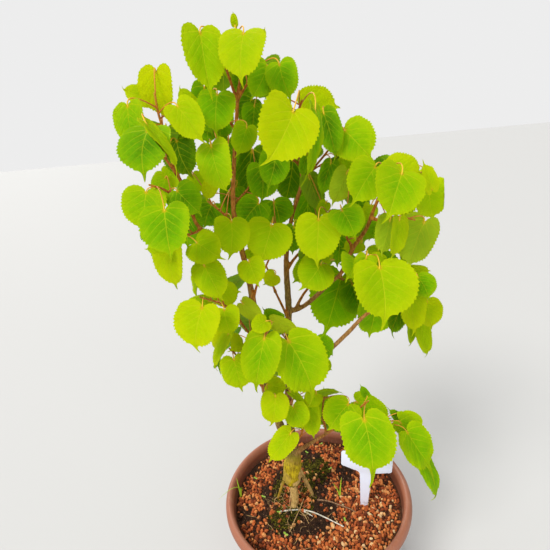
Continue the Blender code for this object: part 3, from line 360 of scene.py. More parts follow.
def smoothPath(points, radii, steps):
    # a Catmull-Rom curve through the points, with its radius
    path = []
    thickness = []
    last = len(points) - 1
    for number in range(last):
        a = points[max(number - 1, 0)]
        b = points[number]
        c = points[number + 1]
        d = points[min(number + 2, last)]
        for step in range(steps):
            t = step / steps
            path.append(0.5 * (2 * b + (c - a) * t + (2 * a - 5 * b + 4 * c - d) * t ** 2
                               + (3 * b - a - 3 * c + d) * t ** 3))
            thickness.append(radii[number] + (radii[number + 1] - radii[number]) * t)
    return path + [points[-1]], thickness + [radii[-1]]


def onCircle(radius, angle, z=0.0):
    return Vector((radius * math.cos(angle), radius * math.sin(angle), z))


def between(first, second, count, step, inward=False):
    # the face at one step between two rings of points
    following = (step + 1) % count
    face = [first + step, first + following, second + following, second + step]
    return [face[0]] + face[:0:-1] if inward else face


def tube(points, radii, sides):
    verts = []
    normal = None
    for number, point in enumerate(points):
        before = points[max(number - 1, 0)]
        after = points[min(number + 1, len(points) - 1)]
        along = (after - before).normalized()
        normal = normal or along.orthogonal().normalized()
        normal = (normal - along * normal.dot(along)).normalized()
        side = along.cross(normal)
        for step in range(sides):
            angle = 2 * math.pi * step / sides
            verts.append(point + (normal * math.cos(angle) + side * math.sin(angle)) * radii[number])
    last = (len(points) - 1) * sides
    faces = [between(first, first + sides, sides, step)
             for first in range(0, last, sides) for step in range(sides)]
    return verts, faces + [list(range(sides))[::-1], [last + step for step in range(sides)]]


def addShape(verts, faces, shape):
    first = len(verts)
    verts += shape[0]
    faces += [[first + corner for corner in face] for face in shape[1]]


def walk(points, distance):
    # splits a path at a distance from its start
    near = [points[0]]
    for number in range(1, len(points)):
        step = points[number] - near[-1]
        if step.length > distance:
            middle = near[-1] + step * (distance / step.length)
            near.append(middle)
            return near, [middle] + points[number:]
        distance -= step.length
        near.append(points[number])
    return near, [points[-1]]


def strands(name, paths):
    # curves with a radius at each point
    curve = bpy.data.curves.new(name, "CURVE")
    curve.dimensions = "3D"
    for points, radii in paths:
        spline = curve.splines.new("POLY")
        spline.points.add(len(points) - 1)
        for place, point, radius in zip(spline.points, points, radii):
            place.co = (*point, 1)
            place.radius = radius
    return newObject(name, curve)


def strandMesh(tree, curve, sides, flatness=1.0):
    # a curve turned into a round or flat strand, with its way along it kept for the finish
    index = made(tree, "GeometryNodeSplineParameter", output="Index")
    count = made(tree, "GeometryNodeSplineLength", output="Point Count")
    ring = made(tree, "GeometryNodeCurvePrimitiveCircle", {"Resolution": sides, "Radius": 1.0}, mode="RADIUS")
    flat = ring.to("GeometryNodeTransform", {"Scale": combined(tree, 1.0, flatness, 1.0)})
    return curve.keep("run", index / (count - 1.0)).to("GeometryNodeCurveToMesh", {
        "Profile Curve": flat, "Scale": made(tree, "GeometryNodeInputRadius"), "Fill Caps": True})


def strandTree():
    tree, given, result = newTree("strandTree", Int=["Sides"], Float=["Flatness"], Material=["Finish"])
    put(result, strandMesh(tree, given["Geometry"], given["Sides"], given["Flatness"]).painted(given["Finish"]))
    return tree


strandShape = strandTree()


def makeStrand(name, paths, sides, flatness, finish, slot, *nodes):
    values = {"Sides": sides, "Flatness": flatness, "Finish": finish}
    piece = madeByTree(strands(name + "_curve", paths), strandShape, name, values)
    piece.data.shade_smooth()
    piece.data.set_sharp_from_angle(angle=math.radians(55))
    keepAttributes(piece, "run")
    return finishPiece(piece, slot, *nodes)


def oneOf(shapes):
    # the shapes of a collection, each to be picked on its own
    return shapes.to("GeometryNodeCollectionInfo", {"Separate Children": True, "Reset Children": True})


def scatterTree():
    # small shapes strewn over a surface, where one of its values allows them
    tree, given, result = newTree(
        "scatterTree", Collection=["Shapes"], String=["Where"], Vector=["Tumble"], Int=["Seed"],
        Float=["Spacing", "Most", "Smallest", "Largest", "Lift", "Lift Range"], Material=["Finish"])
    where = made(tree, "GeometryNodeInputNamedAttribute", {"Name": given["Where"]}, data_type="FLOAT")
    spots = addNode(tree, "GeometryNodeDistributePointsOnFaces", {
        "Mesh": given["Geometry"], "Distance Min": given["Spacing"], "Density Max": given["Most"],
        "Density Factor": where, "Seed": given["Seed"]}, distribute_method="POISSON").outputs

    def chance(offset, low, high, kind=1):
        # kind is 0 for a vector, 1 for a number, 2 for a whole number
        inputs = {"Seed": given["Seed"] + offset, 2 * kind: low, 2 * kind + 1: high}
        dataType = ("FLOAT_VECTOR", "FLOAT", "INT")[kind]
        return made(tree, "FunctionNodeRandomValue", inputs, kind, data_type=dataType)

    size = chance(1, given["Smallest"], given["Largest"])
    lift = chance(2, given["Lift"] - given["Lift Range"], given["Lift"] + given["Lift Range"])
    turn = chance(3, given["Tumble"].stretched(-1, -1, -1), given["Tumble"], 0)
    shade = chance(4, 0.0, 1.0)
    pick = chance(5, 0, 99, 2)
    raised = {"Offset": Field(spots["Normal"]).scaled(lift)}
    raised = Field(spots["Points"]).to("GeometryNodeSetPosition", raised)
    spun = {"Rotate By": turn.to("FunctionNodeEulerToRotation")}
    facing = Field(spots["Rotation"]).to("FunctionNodeRotateRotation", spun, rotation_space="LOCAL")
    strewn = raised.to("GeometryNodeInstanceOnPoints", {
        "Instance": oneOf(given["Shapes"]), "Pick Instance": True, "Instance Index": pick, "Rotation": facing,
        "Scale": combined(tree, size, size, size)})
    put(result, strewn.keep("shade", shade, domain="INSTANCE").painted(given["Finish"]))
    return tree


scatterShape = scatterTree()
scatterInputs = ["Where", "Spacing", "Most", "Smallest", "Largest", "Lift", "Lift Range", "Tumble", "Seed"]
scattered = {
    "soil_granules": ("stony", 0.0029, 250000.0, 0.0026, 0.0058, 0.0010, 0.0007, (3.1, 3.1, 3.1), 3),
    "soil_crumbs": ("crumbly", 0.0016, 260000.0, 0.0009, 0.0022, 0.0003, 0.0002, (3.1, 3.1, 3.1), 8),
    "soil_moss": ("mossy", 0.0009, 900000.0, 0.0012, 0.0026, 0.0006, 0.0004, (0.5, 0.5, 3.1), 5),
    "tree_moss": ("fringe", 0.0008, 500000.0, 0.0007, 0.0016, 0.0, 0.0001, (0.5, 0.5, 3.1), 6),
}


def strew(name, mesh, shapes, finish, slot):
    values = dict(zip(scatterInputs, scattered[name]), Shapes=shapes, Finish=finish)
    piece = madeByTree(newObject(name + "_source", mesh.copy()), scatterShape, name, values)
    keepAttributes(piece, "shade", "pale")
    print(name, len(piece.data.polygons), "faces")
    return finishPiece(piece, slot)


def shapeCollection(name, shapes):
    # shapes for a tree to pick from; they go once the pieces are made
    group = bpy.data.collections.new(name)
    for number, shape in enumerate(shapes):
        label = f"{name}{number}"
        group.objects.link(bpy.data.objects.new(label, newMesh(label, *shape)))
    return group


def dropCollection(group):
    for thing in list(group.objects):
        bpy.data.objects.remove(thing)
    bpy.data.collections.remove(group)


grainForm = {
    "kinds": 6, "dents": 0.5, "dentDensity": 2.2, "rough": 0.12,
    "stretch": [(0.95, 1.3), (0.75, 1.0), (0.6, 0.85)],
}


def lump(seed):
    # a rounded, uneven grain one unit across, with 24 faces
    bm = bmesh.new()
    bmesh.ops.create_cube(bm, size=1.0)
    bmesh.ops.subdivide_edges(bm, edges=bm.edges, cuts=1, use_grid_fill=True)
    draw = random.Random(seed)
    stretch = [draw.uniform(*ends) for ends in grainForm["stretch"]]
    shift = Vector([draw.uniform(-9, 9) for _ in range(3)])
    for vert in bm.verts:
        vert.co = vert.co.normalized() * 0.5
        dent = grainForm["dents"] * noise.noise(vert.co * grainForm["dentDensity"] + shift)
        vert.co *= 1 + dent + draw.uniform(-grainForm["rough"], grainForm["rough"])
        vert.co = Vector([c * s for c, s in zip(vert.co, stretch)])
    shape = ([vert.co.copy() for vert in bm.verts], [[vert.index for vert in face.verts] for face in bm.faces])
    bm.free()
    return shape


# Stems, roots and twigs: u, v, depth in mm and radius in mm at each point, from the foot up
stems = {
    "root_leg": [(293.6, 507, 17, 4.2), (295, 500, 16, 4.8), (293.6, 488, 15, 5.2), (292.8, 477, 15, 5.4)],
    "base": [(292.5, 481.5, 15, 9.6), (292.3, 475, 15, 11.3), (292.6, 464, 15, 11.4), (294.3, 454, 15, 8.4),
        (295, 448, 15, 6)],
    "middle_stem": [(295, 455, 15, 6.5), (291.5, 432, 18, 4.8), (288.5, 402, 22, 4.4), (288, 350, 27, 4.1),
        (288.6, 309, 28, 3.9), (286.4, 271, 30, 3.3), (287, 248, 30, 2.7), (292, 216, 29, 2.4),
        (298, 197, 28, 2.3), (302, 181, 26, 2.3), (300.3, 160, 21, 1.9), (298.5, 120, 6, 1.5)],
    "left_stem": [(292, 455, 14, 6.5), (284, 435, 9, 5), (271, 402, 2, 4.4), (264.5, 386, -1, 4.3),
        (259, 350, -3, 3.8), (254, 308, -4, 3.7), (248, 275, -2, 3.1), (241, 247, 0, 2.9),
        (234.8, 219, 2, 2.8), (233, 200, 3, 2.4), (234, 165, 4, 2.2), (238, 94, 3, 1.7)],
    "left_branch": [(240, 246, 0, 2.4), (226, 240, -4, 2.1), (200, 228, -12, 1.9), (190, 207, -16, 1.8),
        (181.5, 183, -22, 1.7), (174.5, 169, -25, 1.5)],
    "right_branch": [(289.5, 311, 28, 3.4), (300, 308, 26, 2.8), (311, 300.5, 22, 2.6),
        (331.6, 281.4, 10, 2.3), (341, 273, 4, 2.2), (352.5, 249, -4, 2.3), (366, 229, -13, 2.1),
        (374, 209, -20, 1.7), (385, 183, -27, 1.4)],
    "low_branch": [(288.5, 403, 22, 3.2), (292, 390, 20, 2.7), (305, 373, 15, 2.6), (323.5, 356, 8, 2.5),
        (349, 331.6, 0, 2.4), (366, 314.5, -6, 2), (393, 299, -14, 1.5)],
    "foot_branch": [(295, 454, 14, 4), (303, 448, 12, 2.6), (321, 437, 6, 2), (338, 426, -2, 1.8),
        (348, 419.5, -7, 1.6)],
    "thin_branch": [(288.3, 322, 28, 2.2), (285, 312, 26, 1.7), (275.5, 292, 18, 1.4)],
    "inner_branch": [(287, 270, 30, 2.2), (294.6, 258.4, 30, 1.8), (309, 243, 27, 1.4)],
    "back_branch": [(296, 308, 27, 2.2), (303.6, 294, 30, 1.7), (314, 282, 33, 1.4)],
    "left_root": [(287, 474, 14, 4), (283, 483, 21, 2.1), (278, 498, 32, 1.5)],
    "right_root": [(298, 470, 17, 4.5), (304.5, 479, 25, 2.8), (312, 493, 33, 2.3)],
}
rootsInSoil = {"names": ["root_leg", "left_root", "right_root"], "depth": 0.014}

# Twigs of the leafy shoots: u, v and depth in mm, from inside the stem that bears each
twigs = {
    "left_tip": [(174.5, 169, -25), (169.4, 149, -29), (165.5, 134.5, -31), (160.9, 122, -32),
        (157.9, 111.5, -33), (155.4, 98, -34)],
    "left_front": [(178, 176, -24), (170, 165, -33), (163, 155, -40), (157, 148, -46)],
    "left_middle": [(190, 207, -16), (181, 200, -24), (170, 193, -30), (160, 188, -34), (153, 186, -36)],
    "left_hanging": [(202, 229, -11), (194, 233, -18), (184, 236, -25), (174, 238, -30)],
    "left_inner": [(236, 226, 1), (228, 218, -5), (219, 210, -9), (210, 203, -12)],
    "left_low": [(257, 338, -3), (249, 333, -8), (243, 325, -12), (236, 315, -16), (226, 306, -20),
        (214, 301, -24), (203, 298, -27)],
    "left_bottom": [(264, 388, -1), (257, 381, -6), (250, 374, -11), (243, 365, -16), (238, 357, -20),
        (231, 350, -24)],
    "middle_left": [(259, 354, -3), (262, 344, -10), (265, 334, -16), (268, 325, -20)],
    "front": [(288, 352, 26), (288, 345, 16), (286, 339, 5), (283, 335, -5)],
    "base_left": [(276, 415, 5), (274, 410, -5), (272, 404, -12), (270, 397, -17)],
    "base_front": [(294, 446, 16), (298, 440, 10), (301, 435, 4), (303, 430, 0)],
    "base_right": [(288.5, 408, 21), (291, 403, 12), (293, 399, 4), (296, 395, -3)],
    "low_middle": [(326, 433.5, 3), (325, 425, 4), (322.7, 414, 6), (323, 404, 8), (324, 396, 9)],
    "low_end": [(348, 419.5, -7), (356, 412, -14), (362, 406, -20), (367, 402, -24)],
    "low_right": [(343, 423, -4), (356, 424, -7), (370, 424, -11), (383, 424, -15), (391, 425, -18)],
    "right_end": [(393, 299, -14), (402, 291, -17), (408, 285, -20), (417, 277, -24)],
    "right_low": [(378, 307, -10), (388, 306, -6), (396, 305, -2), (404, 305, 1), (412, 308, 3)],
    "right_back": [(331.6, 281.4, 10), (334, 279, 20), (338, 278, 30), (343, 280, 38)],
    "middle_right": [(342, 272, 3), (348, 268, -4), (356, 265, -12), (363, 262, -19), (368.5, 261, -24)],
    "middle_back": [(314, 282, 33), (320, 273, 30), (325, 266, 26), (329, 260, 22)],
    "middle_top": [(309, 243, 27), (318, 230, 22), (324, 220, 17), (329, 212, 12)],
    "right_fork": [(352.5, 250, -4), (350, 243, -4), (347, 238, -3), (345, 229, -2), (345, 220, -1)],
    "crown_right": [(385, 183, -27), (388, 172, -30), (390, 166, -31)],
    "crown_right_low": [(371.5, 218, -17), (378, 220, -20), (386, 220, -24), (394, 217, -27),
        (402, 217, -30), (411, 219, -32)],
    "crown_right_edge": [(382, 190, -25), (392, 187, -20), (402, 183, -15), (412, 178, -12),
        (420, 173, -10)],
    "right_top": [(302, 182, 26), (310, 172, 24), (318, 163, 20), (327, 152, 15), (335, 141, 10),
        (342, 131, 6)],
    "centre_top": [(298.5, 120, 6), (298.5, 112, 2), (299.5, 107, -1), (301, 103, -3)],
    "centre": [(300.5, 165, 22), (293, 160, 16), (285, 156, 10), (278, 153, 4)],
    "centre_low": [(288.3, 238, 30), (283, 232, 23), (278, 227, 15), (273, 222, 8)],
    "left_twin": [(253, 300, -4), (257, 285, -6), (262, 274, -7), (266, 266, -7), (270.5, 256, -8)],
    "thin": [(275.5, 292, 18), (272, 283, 10), (270, 276, 4), (267, 268, 1)],
    "left_upper": [(233.3, 205, 3), (240, 198, 7), (247, 190, 10), (253, 181, 13), (257, 171, 15)],
    "left_crown": [(233.8, 172, 4), (226, 164, -5), (218, 157, -13), (212, 152, -19)],
    "crown_left": [(236, 130, 4), (229, 121, -1), (222, 111, -6), (215, 101, -10), (209, 93, -13)],
    "top_left": [(237.3, 101, 3), (232, 86, -2), (226, 68, -8), (221, 50, -12), (217, 35, -15)],
    "top": [(238, 94, 3), (240, 80, 0), (241, 66, -4), (240, 50, -7), (238, 38, -9), (236, 28, -11)],
    "top_right": [(237.6, 99, 3), (246, 86, 0), (255, 73, -5), (262, 63, -10)],
}
twigForm = {
    "radius": 0.0013,
    "stub": 0.008,        # length that belongs to the tree, and where it is longer
    "longStubs": {"left_bottom": 0.012, "middle_left": 0.012, "base_left": 0.015, "base_front": 0.014,
                  "left_twin": 0.010},
    "end": 0.004,
}


def twigParts(name):
    points = [seenAt(*point) for point in twigs[name]]
    return walk(points, twigForm["longStubs"].get(name, twigForm["stub"]))


# The pot
potForm = {
    "height": 0.125, "rimRadius": 0.120, "lipWidth": 0.010, "lipHeight": 0.009, "lipSquareness": 0.8,
    "lipSteps": 24, "collarHeight": 0.030, "collarStep": 0.003, "wall": 0.0035, "baseRadius": 0.084,
    "floor": 0.004, "edges": [0.0025, 0.001, 0.0012, 0.0008], "floorEdge": 0.003,
    "drainHoles": 6, "drainRadius": 0.0055, "drainCircle": 0.052, "segments": 144,
    "sharp": 38,          # degrees from which an edge stays sharp
    "colour": (0.36, 0.132, 0.072), "shadeColour": (0.26, 0.088, 0.046), "dust": (0.48, 0.30, 0.19),
    # the darker colour inside the pot is painted shade
    "paintedShadeInside": (0.15, 0.042, 0.020), "splash": (0.10, 0.05, 0.03), "scuffed": (0.62, 0.47, 0.38),
}


def potWallRadius(height):
    top = potForm["rimRadius"] - potForm["lipWidth"]
    bottom = potForm["baseRadius"] - potForm["wall"]
    share = (height - potForm["floor"]) / (potForm["height"] - potForm["lipHeight"] - potForm["floor"])
    return bottom + (top - bottom) * share


def rounded(profile, corner, radius, steps=4):
    # the points of a profile's corner, rounded off
    before, point, after = (Vector(profile[corner + step]) for step in (-1, 0, 1))
    first = (before - point).normalized()
    second = (after - point).normalized()
    reach = min(radius, (before - point).length * 0.45, (after - point).length * 0.45)
    curve = []
    for step in range(steps + 1):
        t = step / steps
        a = point + first * reach * (1 - t)
        b = point + second * reach * t
        curve.append(tuple(a.lerp(b, t)))
    return curve


def potProfile():
    collarBottom = potForm["height"] - potForm["collarHeight"]
    wallAtCollar = potWallRadius(collarBottom) + potForm["wall"]
    lipHalf = potForm["lipWidth"] / 2
    lipBase = potForm["height"] - potForm["lipHeight"]
    collarRadius = potForm["rimRadius"] - potForm["lipWidth"] + potForm["wall"] + potForm["collarStep"]
    sharp = [(0, 0), (potForm["baseRadius"], 0), (wallAtCollar, collarBottom),
             (wallAtCollar + potForm["collarStep"], collarBottom + 0.001), (collarRadius, lipBase - 0.0012),
             (potForm["rimRadius"] - 0.0008, lipBase)]
    profile = [sharp[0]]
    for corner, radius in enumerate(potForm["edges"], 1):
        profile += rounded(sharp, corner, radius)
    for step in range(potForm["lipSteps"] + 1):
        angle = math.pi * step / potForm["lipSteps"]
        rise = potForm["lipHeight"] * math.sin(angle) ** potForm["lipSquareness"]
        profile.append((potForm["rimRadius"] - lipHalf + lipHalf * math.cos(angle), lipBase + rise))
    inner = [profile[-1], (potWallRadius(potForm["floor"]), potForm["floor"]), (0, potForm["floor"])]
    return profile + rounded(inner, 1, potForm["floorEdge"]) + [inner[-1]]


def turnedShape(profile, segments):
    verts = [Vector((0, 0, profile[0][1])), Vector((0, 0, profile[-1][1]))]
    rings = profile[1:-1]
    for radius, z in rings:
        verts += [onCircle(radius, 2 * math.pi * step / segments, z) for step in range(segments)]
    last = 2 + (len(rings) - 1) * segments
    faces = []
    for step in range(segments):
        following = (step + 1) % segments
        faces += [[0, 2 + following, 2 + step], [1, last + step, last + following]]
        faces += [between(first, first + segments, segments, step) for first in range(2, last, segments)]
    return verts, faces


def potFinish():
    look = Finish("terracottaPlastic", 0.5, 0.4)
    place = look.place()
    height = place.parts()[2]
    cloud = place.speckle(14, 4)
    base = cloud.ease(0.3, 0.7, 0.0, 0.55).blend(potForm["colour"], potForm["shadeColour"])
    # the wall inside the pot, nearer the axis than the lip's inner edge and under its top, painted darker as
    # painted shade, with splashed marks of soil low down
    around = place.stretched(1, 1, 0).length()
    inside = around.ease(0.1095, 0.1105, 1.0, 0.0) * height.ease(0.1155, 0.1195, 1.0, 0.0)
    base = (inside * 0.85).blend(base, potForm["paintedShadeInside"])
    splash = height.ease(0.1105, 0.1145, 1.0, 0.0) * place.speckle(420).ease(0.45, 0.62)
    base = (splash * 0.6).blend(base, potForm["splash"])
    base = place.speckle(60, 6, 0.7).ease(0.52, 0.75, 0.0, 0.28).blend(base, potForm["dust"])
    marks = place.stretched(260, 260, 18).speckle(1.0).ease(0.58, 0.72) * height.ease(0.02, 0.09, 0.22, 0.05)
    base = marks.blend(base, potForm["scuffed"])
    put(look.shader.inputs["Roughness"], cloud.ease(0.2, 0.8, 0.42, 0.6))
    grain = place.stretched(900, 900, 3500).speckle(1.0, 2) + place.speckle(900, 2)
    return look.done(base, grain, 0.00006)


def makePot():
    pot = meshObject("potShape", *turnedShape(potProfile(), potForm["segments"]))
    cutters = []
    for hole in range(potForm["drainHoles"]):
        foot = onCircle(potForm["drainCircle"], 2 * math.pi * (hole + 0.5) / potForm["drainHoles"], -0.005)
        bar = tube([foot, foot + Vector((0, 0, 0.015))], [potForm["drainRadius"]] * 2, 24)
        cutters.append(meshObject("drain", *bar))
        cut = pot.modifiers.new("drain", "BOOLEAN")
        cut.operation = "DIFFERENCE"
        cut.solver = "EXACT"
        cut.object = cutters[-1]
    pot = settled(pot, "pot_turned")
    for cutter in cutters:
        bpy.data.objects.remove(cutter)
    smoothShaded(pot, potFinish(), potForm["sharp"])
    return finishPiece(pot, "pot_plastic", "pot")


makePot()
print("pot made")


# The soil: a filled body under loose granules, crumbs of compost and moss
soilForm = {
    "level": 0.109, "mound": 0.0035, "moundSpread": 0.030, "gap": 0.0003, "rings": 56, "segments": 144,
    "sunk": 0.0022,       # how far the compost lies under the granules' level
    "relief": 0.0012, "reliefDensity": 140,
    "bareEdge": 0.0030,   # nothing is strewn this near the wall
    "stonyInBare": 0.14, "crumblyOutside": 0.25,  # what is left of both where the other prevails
    "patchUneven": 0.35, "patchDensity": 160, "patchSoft": {"bare": 0.35, "moss": 0.6, "pale": 0.8},
    # darker compost between the granules, moss and paler grit: u, v and half widths in pixels
    "bare": [(317, 474, 11, 23), (274, 494, 11, 10), (291, 521, 21, 15), (324, 510, 12, 11), (247, 469, 10, 8),
             (304, 458, 9, 9), (246, 512, 6, 9), (283, 478, 8, 10), (300, 526, 26, 9), (345, 470, 7, 10),
             (262, 516, 9, 6)],
    "moss": [(305, 492, 8, 15), (284, 491, 8, 13), (285, 518, 12, 9), (321, 468, 6, 9), (308, 470, 6, 9)],
    "pale": [(368, 520, 28, 26), (330, 532, 26, 12)],
    "compost": (0.018, 0.009, 0.005),
    "grit": [(0.30, (0.018, 0.009, 0.005)), (0.52, (0.085, 0.030, 0.012)), (0.66, (0.17, 0.065, 0.028)),
             (0.74, (0.34, 0.20, 0.10))],
    "grains": [(0.0, (0.022, 0.009, 0.004)), (0.10, (0.090, 0.022, 0.007)), (0.26, (0.27, 0.055, 0.013)),
               (0.55, (0.52, 0.125, 0.028)), (0.80, (0.66, 0.225, 0.060)), (0.93, (0.72, 0.37, 0.135)),
               (1.0, (0.78, 0.56, 0.30))],
    "crumbs": [(0.0, (0.010, 0.006, 0.004)), (0.6, (0.035, 0.018, 0.010)), (0.85, (0.11, 0.05, 0.025)),
               (1.0, (0.30, 0.17, 0.09))],
    "mosses": [(0.0, (0.018, 0.020, 0.002)), (0.45, (0.060, 0.060, 0.005)), (0.8, (0.15, 0.14, 0.008)),
               (1.0, (0.34, 0.29, 0.03))],
}
soilFoot = seenOnLevel(294, 505, soilForm["level"])


def patchShare(x, y, kind):
    share = 0.0
    soft = soilForm["patchSoft"][kind]
    for u, v, wide, high in soilForm[kind]:
        middle = seenOnLevel(u, v, soilForm["level"])
        right = seenOnLevel(u + wide, v, soilForm["level"]) - middle
        down = seenOnLevel(u, v + high, soilForm["level"]) - middle
        spot = Vector((x, y, soilForm["level"])) - middle
        size = math.hypot(spot.dot(right) / right.length_squared, spot.dot(down) / down.length_squared)
        size += soilForm["patchUneven"] * noise.noise(Vector((x, y, 0)) * soilForm["patchDensity"])
        share = max(share, clamped((1 + soft - size) / soft))
    return share


def soilHeight(x, y):
    fromFoot = (x - soilFoot.x) ** 2 + (y - soilFoot.y) ** 2
    mound = soilForm["mound"] * math.exp(-(fromFoot / soilForm["moundSpread"] ** 2))
    rough = soilForm["relief"] * noise.noise(Vector((x, y, 0)) * soilForm["reliefDensity"])
    return soilForm["level"] - soilForm["sunk"] + mound + rough


def soilBody():
    rings = soilForm["rings"]
    segments = soilForm["segments"]
    edge = potWallRadius(soilForm["level"]) - soilForm["gap"]
    low = potForm["floor"] + soilForm["gap"]
    verts = [Vector((0, 0, soilHeight(0, 0)))]
    for ring in range(1, rings + 1):
        for step in range(segments):
            angle = 2 * math.pi * step / segments
            x = edge * ring / rings * math.cos(angle)
            y = edge * ring / rings * math.sin(angle)
            verts.append(Vector((x, y, soilHeight(x, y))))
    radius = potWallRadius(low) - soilForm["gap"]
    verts += [onCircle(radius, 2 * math.pi * step / segments, low) for step in range(segments)]
    last = 1 + rings * segments
    faces = []
    for step in range(segments):
        faces.append([0, 1 + step, 1 + (step + 1) % segments])
        faces += [between(first, first + segments, segments, step, True) for first in range(1, last, segments)]
    return verts, faces + [[last + step for step in range(segments)][::-1]]


def soilFinish():
    look = Finish("dampCompost", 0.95, 0.2)
    grit = look.place().speckle(900, 4, 0.6)
    base = (look.own("bare") * 0.75).blend(grit.ramp(soilForm["grit"]), soilForm["compost"])
    return look.done(base, grit, 0.0012)


def grainFinish():
    look = Finish("bakedClayGrains", 0.85, 0.3)
    place = look.place()
    fine = place.speckle(1300, 3, 0.6)
    value = (look.own("shade") + (fine - 0.5) * 0.16) * 0.93 + look.own("pale") * 0.09
    return look.done(value.ramp(soilForm["grains"]), fine + place.speckle(2600, 3, 0.7), 0.0003)


def crumbFinish():
    look = Finish("compostCrumbs", 0.95, 0.2)
    return look.done(look.own("shade").ramp(soilForm["crumbs"]), look.place().speckle(2200), 0.0003)


def mossFinish():
    look = Finish("softMoss", 0.9, 0.2)
    return look.done(look.own("shade").ramp(soilForm["mosses"]))


tuftForm = {"kinds": 4, "blades": 5, "reach": (0.2, 0.8), "height": (0.7, 1.0), "halfWidth": 0.16}


def mossTuft(seed):
    # a few pointed leaves out of one spot, one unit tall
    draw = random.Random(seed)
    verts = []
    faces = []
    for blade in range(tuftForm["blades"]):
        angle = 2 * math.pi * blade / tuftForm["blades"] + draw.uniform(-0.4, 0.4)
        tip = onCircle(draw.uniform(*tuftForm["reach"]), angle, draw.uniform(*tuftForm["height"]))
        side = Vector((-math.sin(angle), math.cos(angle), 0)) * tuftForm["halfWidth"]
        foot = onCircle(0.08, angle)
        corners = [foot - side, foot + side, foot * -1.5 + Vector((0, 0, 0.1)), tip]
        addShape(verts, faces, (corners, [[0, 1, 3], [1, 2, 3], [2, 0, 3], [1, 0, 2]]))
    return verts, faces


mossLook = mossFinish()
mossTufts = shapeCollection("mossTufts", [mossTuft(seed) for seed in range(tuftForm["kinds"])])


def makeSoil():
    soil = meshObject("soil_filling", *soilBody())
    mesh = soil.data
    edge = potWallRadius(soilForm["level"]) - soilForm["bareEdge"]
    few = soilForm["stonyInBare"]
    least = soilForm["crumblyOutside"]
    spots = [vertex.co for vertex in mesh.vertices]
    bare, moss, pale = ([patchShare(spot.x, spot.y, kind) for spot in spots]
                        for kind in ("bare", "moss", "pale"))
    inner = [1.0 if math.hypot(spot.x, spot.y) < edge and spot.z > 0.1 else 0.0 for spot in spots]
    setPoints(mesh, "bare", bare)
    setPoints(mesh, "pale", pale)
    setPoints(mesh, "stony", [here * (1 - (1 - few) * share) for here, share in zip(inner, bare)])
    setPoints(mesh, "crumbly", [here * (least + (1 - least) * share) for here, share in zip(inner, bare)])
    setPoints(mesh, "mossy", [here * share for here, share in zip(inner, moss)])
    mesh.shade_smooth()
    mesh.materials.append(soilFinish())
    grains = shapeCollection("grainLumps", [lump(seed) for seed in range(grainForm["kinds"])])
    strew("soil_granules", mesh, grains, grainFinish(), "soil")
    strew("soil_crumbs", mesh, grains, crumbFinish(), "soil")
    strew("soil_moss", mesh, mossTufts, mossLook, "soil")
    dropCollection(grains)
    keepAttributes(soil, "bare")
    return finishPiece(soil, "soil", "soil")


makeSoil()
print("soil made")


# The tree: stems drawn as smooth curves, grown together, with bark and a mossy foot
barkForm = {
    "sides": 14, "steps": 7, "voxel": 0.00085, "smoothing": 7,
    "ridge": 0.00045,     # height of the bark's relief on the old wood
    "youngRadius": 0.0014, "ageSpan": 0.0032,     # wood thicker than both together is old
    "mossHigh": 0.200, "mossFade": 0.020, "fringeWidth": 0.003,
    "old": (0.32, 0.20, 0.055), "oldDark": (0.12, 0.068, 0.020), "green": (0.17, 0.16, 0.012),
    "tan": (0.44, 0.235, 0.075), "tanDark": (0.22, 0.095, 0.026),
    "young": (0.30, 0.085, 0.007), "youngPale": (0.60, 0.22, 0.025), "pores": (0.58, 0.38, 0.18),
    "root": (0.66, 0.44, 0.17), "rootDark": (0.33, 0.20, 0.06),
    "sleeve": (0.50, 0.37, 0.010), "sleeveDark": (0.24, 0.165, 0.006),
}


def stemPath(stem):
    points = [seenAt(u, v, depth) for u, v, depth, _ in stems[stem]]
    radii = [radius * 0.001 for _, _, _, radius in stems[stem]]
    return smoothPath(points, radii, barkForm["steps"])


def treeShape():
    verts = []
    faces = []
    spine = []

    def grow(name, points, radii, sides):
        addShape(verts, faces, tube(points, radii, sides))
        spine.extend((point, radius, name) for point, radius in zip(points, radii))

    for stem in stems:
        grow(stem, *stemPath(stem), barkForm["sides"])
    for stem in rootsInSoil["names"]:
        points, radii = stemPath(stem)
        end = 0 if stem == "root_leg" else -1
        foot = Vector((points[end].x, points[end].y, soilForm["level"] - rootsInSoil["depth"]))
        route = [foot, points[end].copy(), points[end] + Vector((0, 0, 0.003))]
        thick = [radii[end] * share for share in (0.9, 0.95, 0.8)]
        addShape(verts, faces, tube(route, thick, barkForm["sides"]))
    for name in twigs:
        near, _ = twigParts(name)
        radii = [twigForm["radius"] * 1.7] + [twigForm["radius"] * 1.15] * (len(near) - 1)
        grow(name, *smoothPath(near, radii, 5), 8)
    return verts, faces, spine


def barkTree():
    tree, given, result = newTree("barkTree", Float=["Ridge Height"], Material=["Finish"])
    place = made(tree, "GeometryNodeInputPosition")
    swell = (place.stretched(1, 1, 0.3).speckle(420, 2) - 0.5) + (place.speckle(130, 2) - 0.5)
    height = swell * given["Ridge Height"] * (stored(tree, "age") * 2.6 + 0.35)
    offset = made(tree, "GeometryNodeInputNormal").scaled(height)
    put(result, given["Geometry"].to("GeometryNodeSetPosition", {"Offset": offset}).painted(given["Finish"]))
    return tree


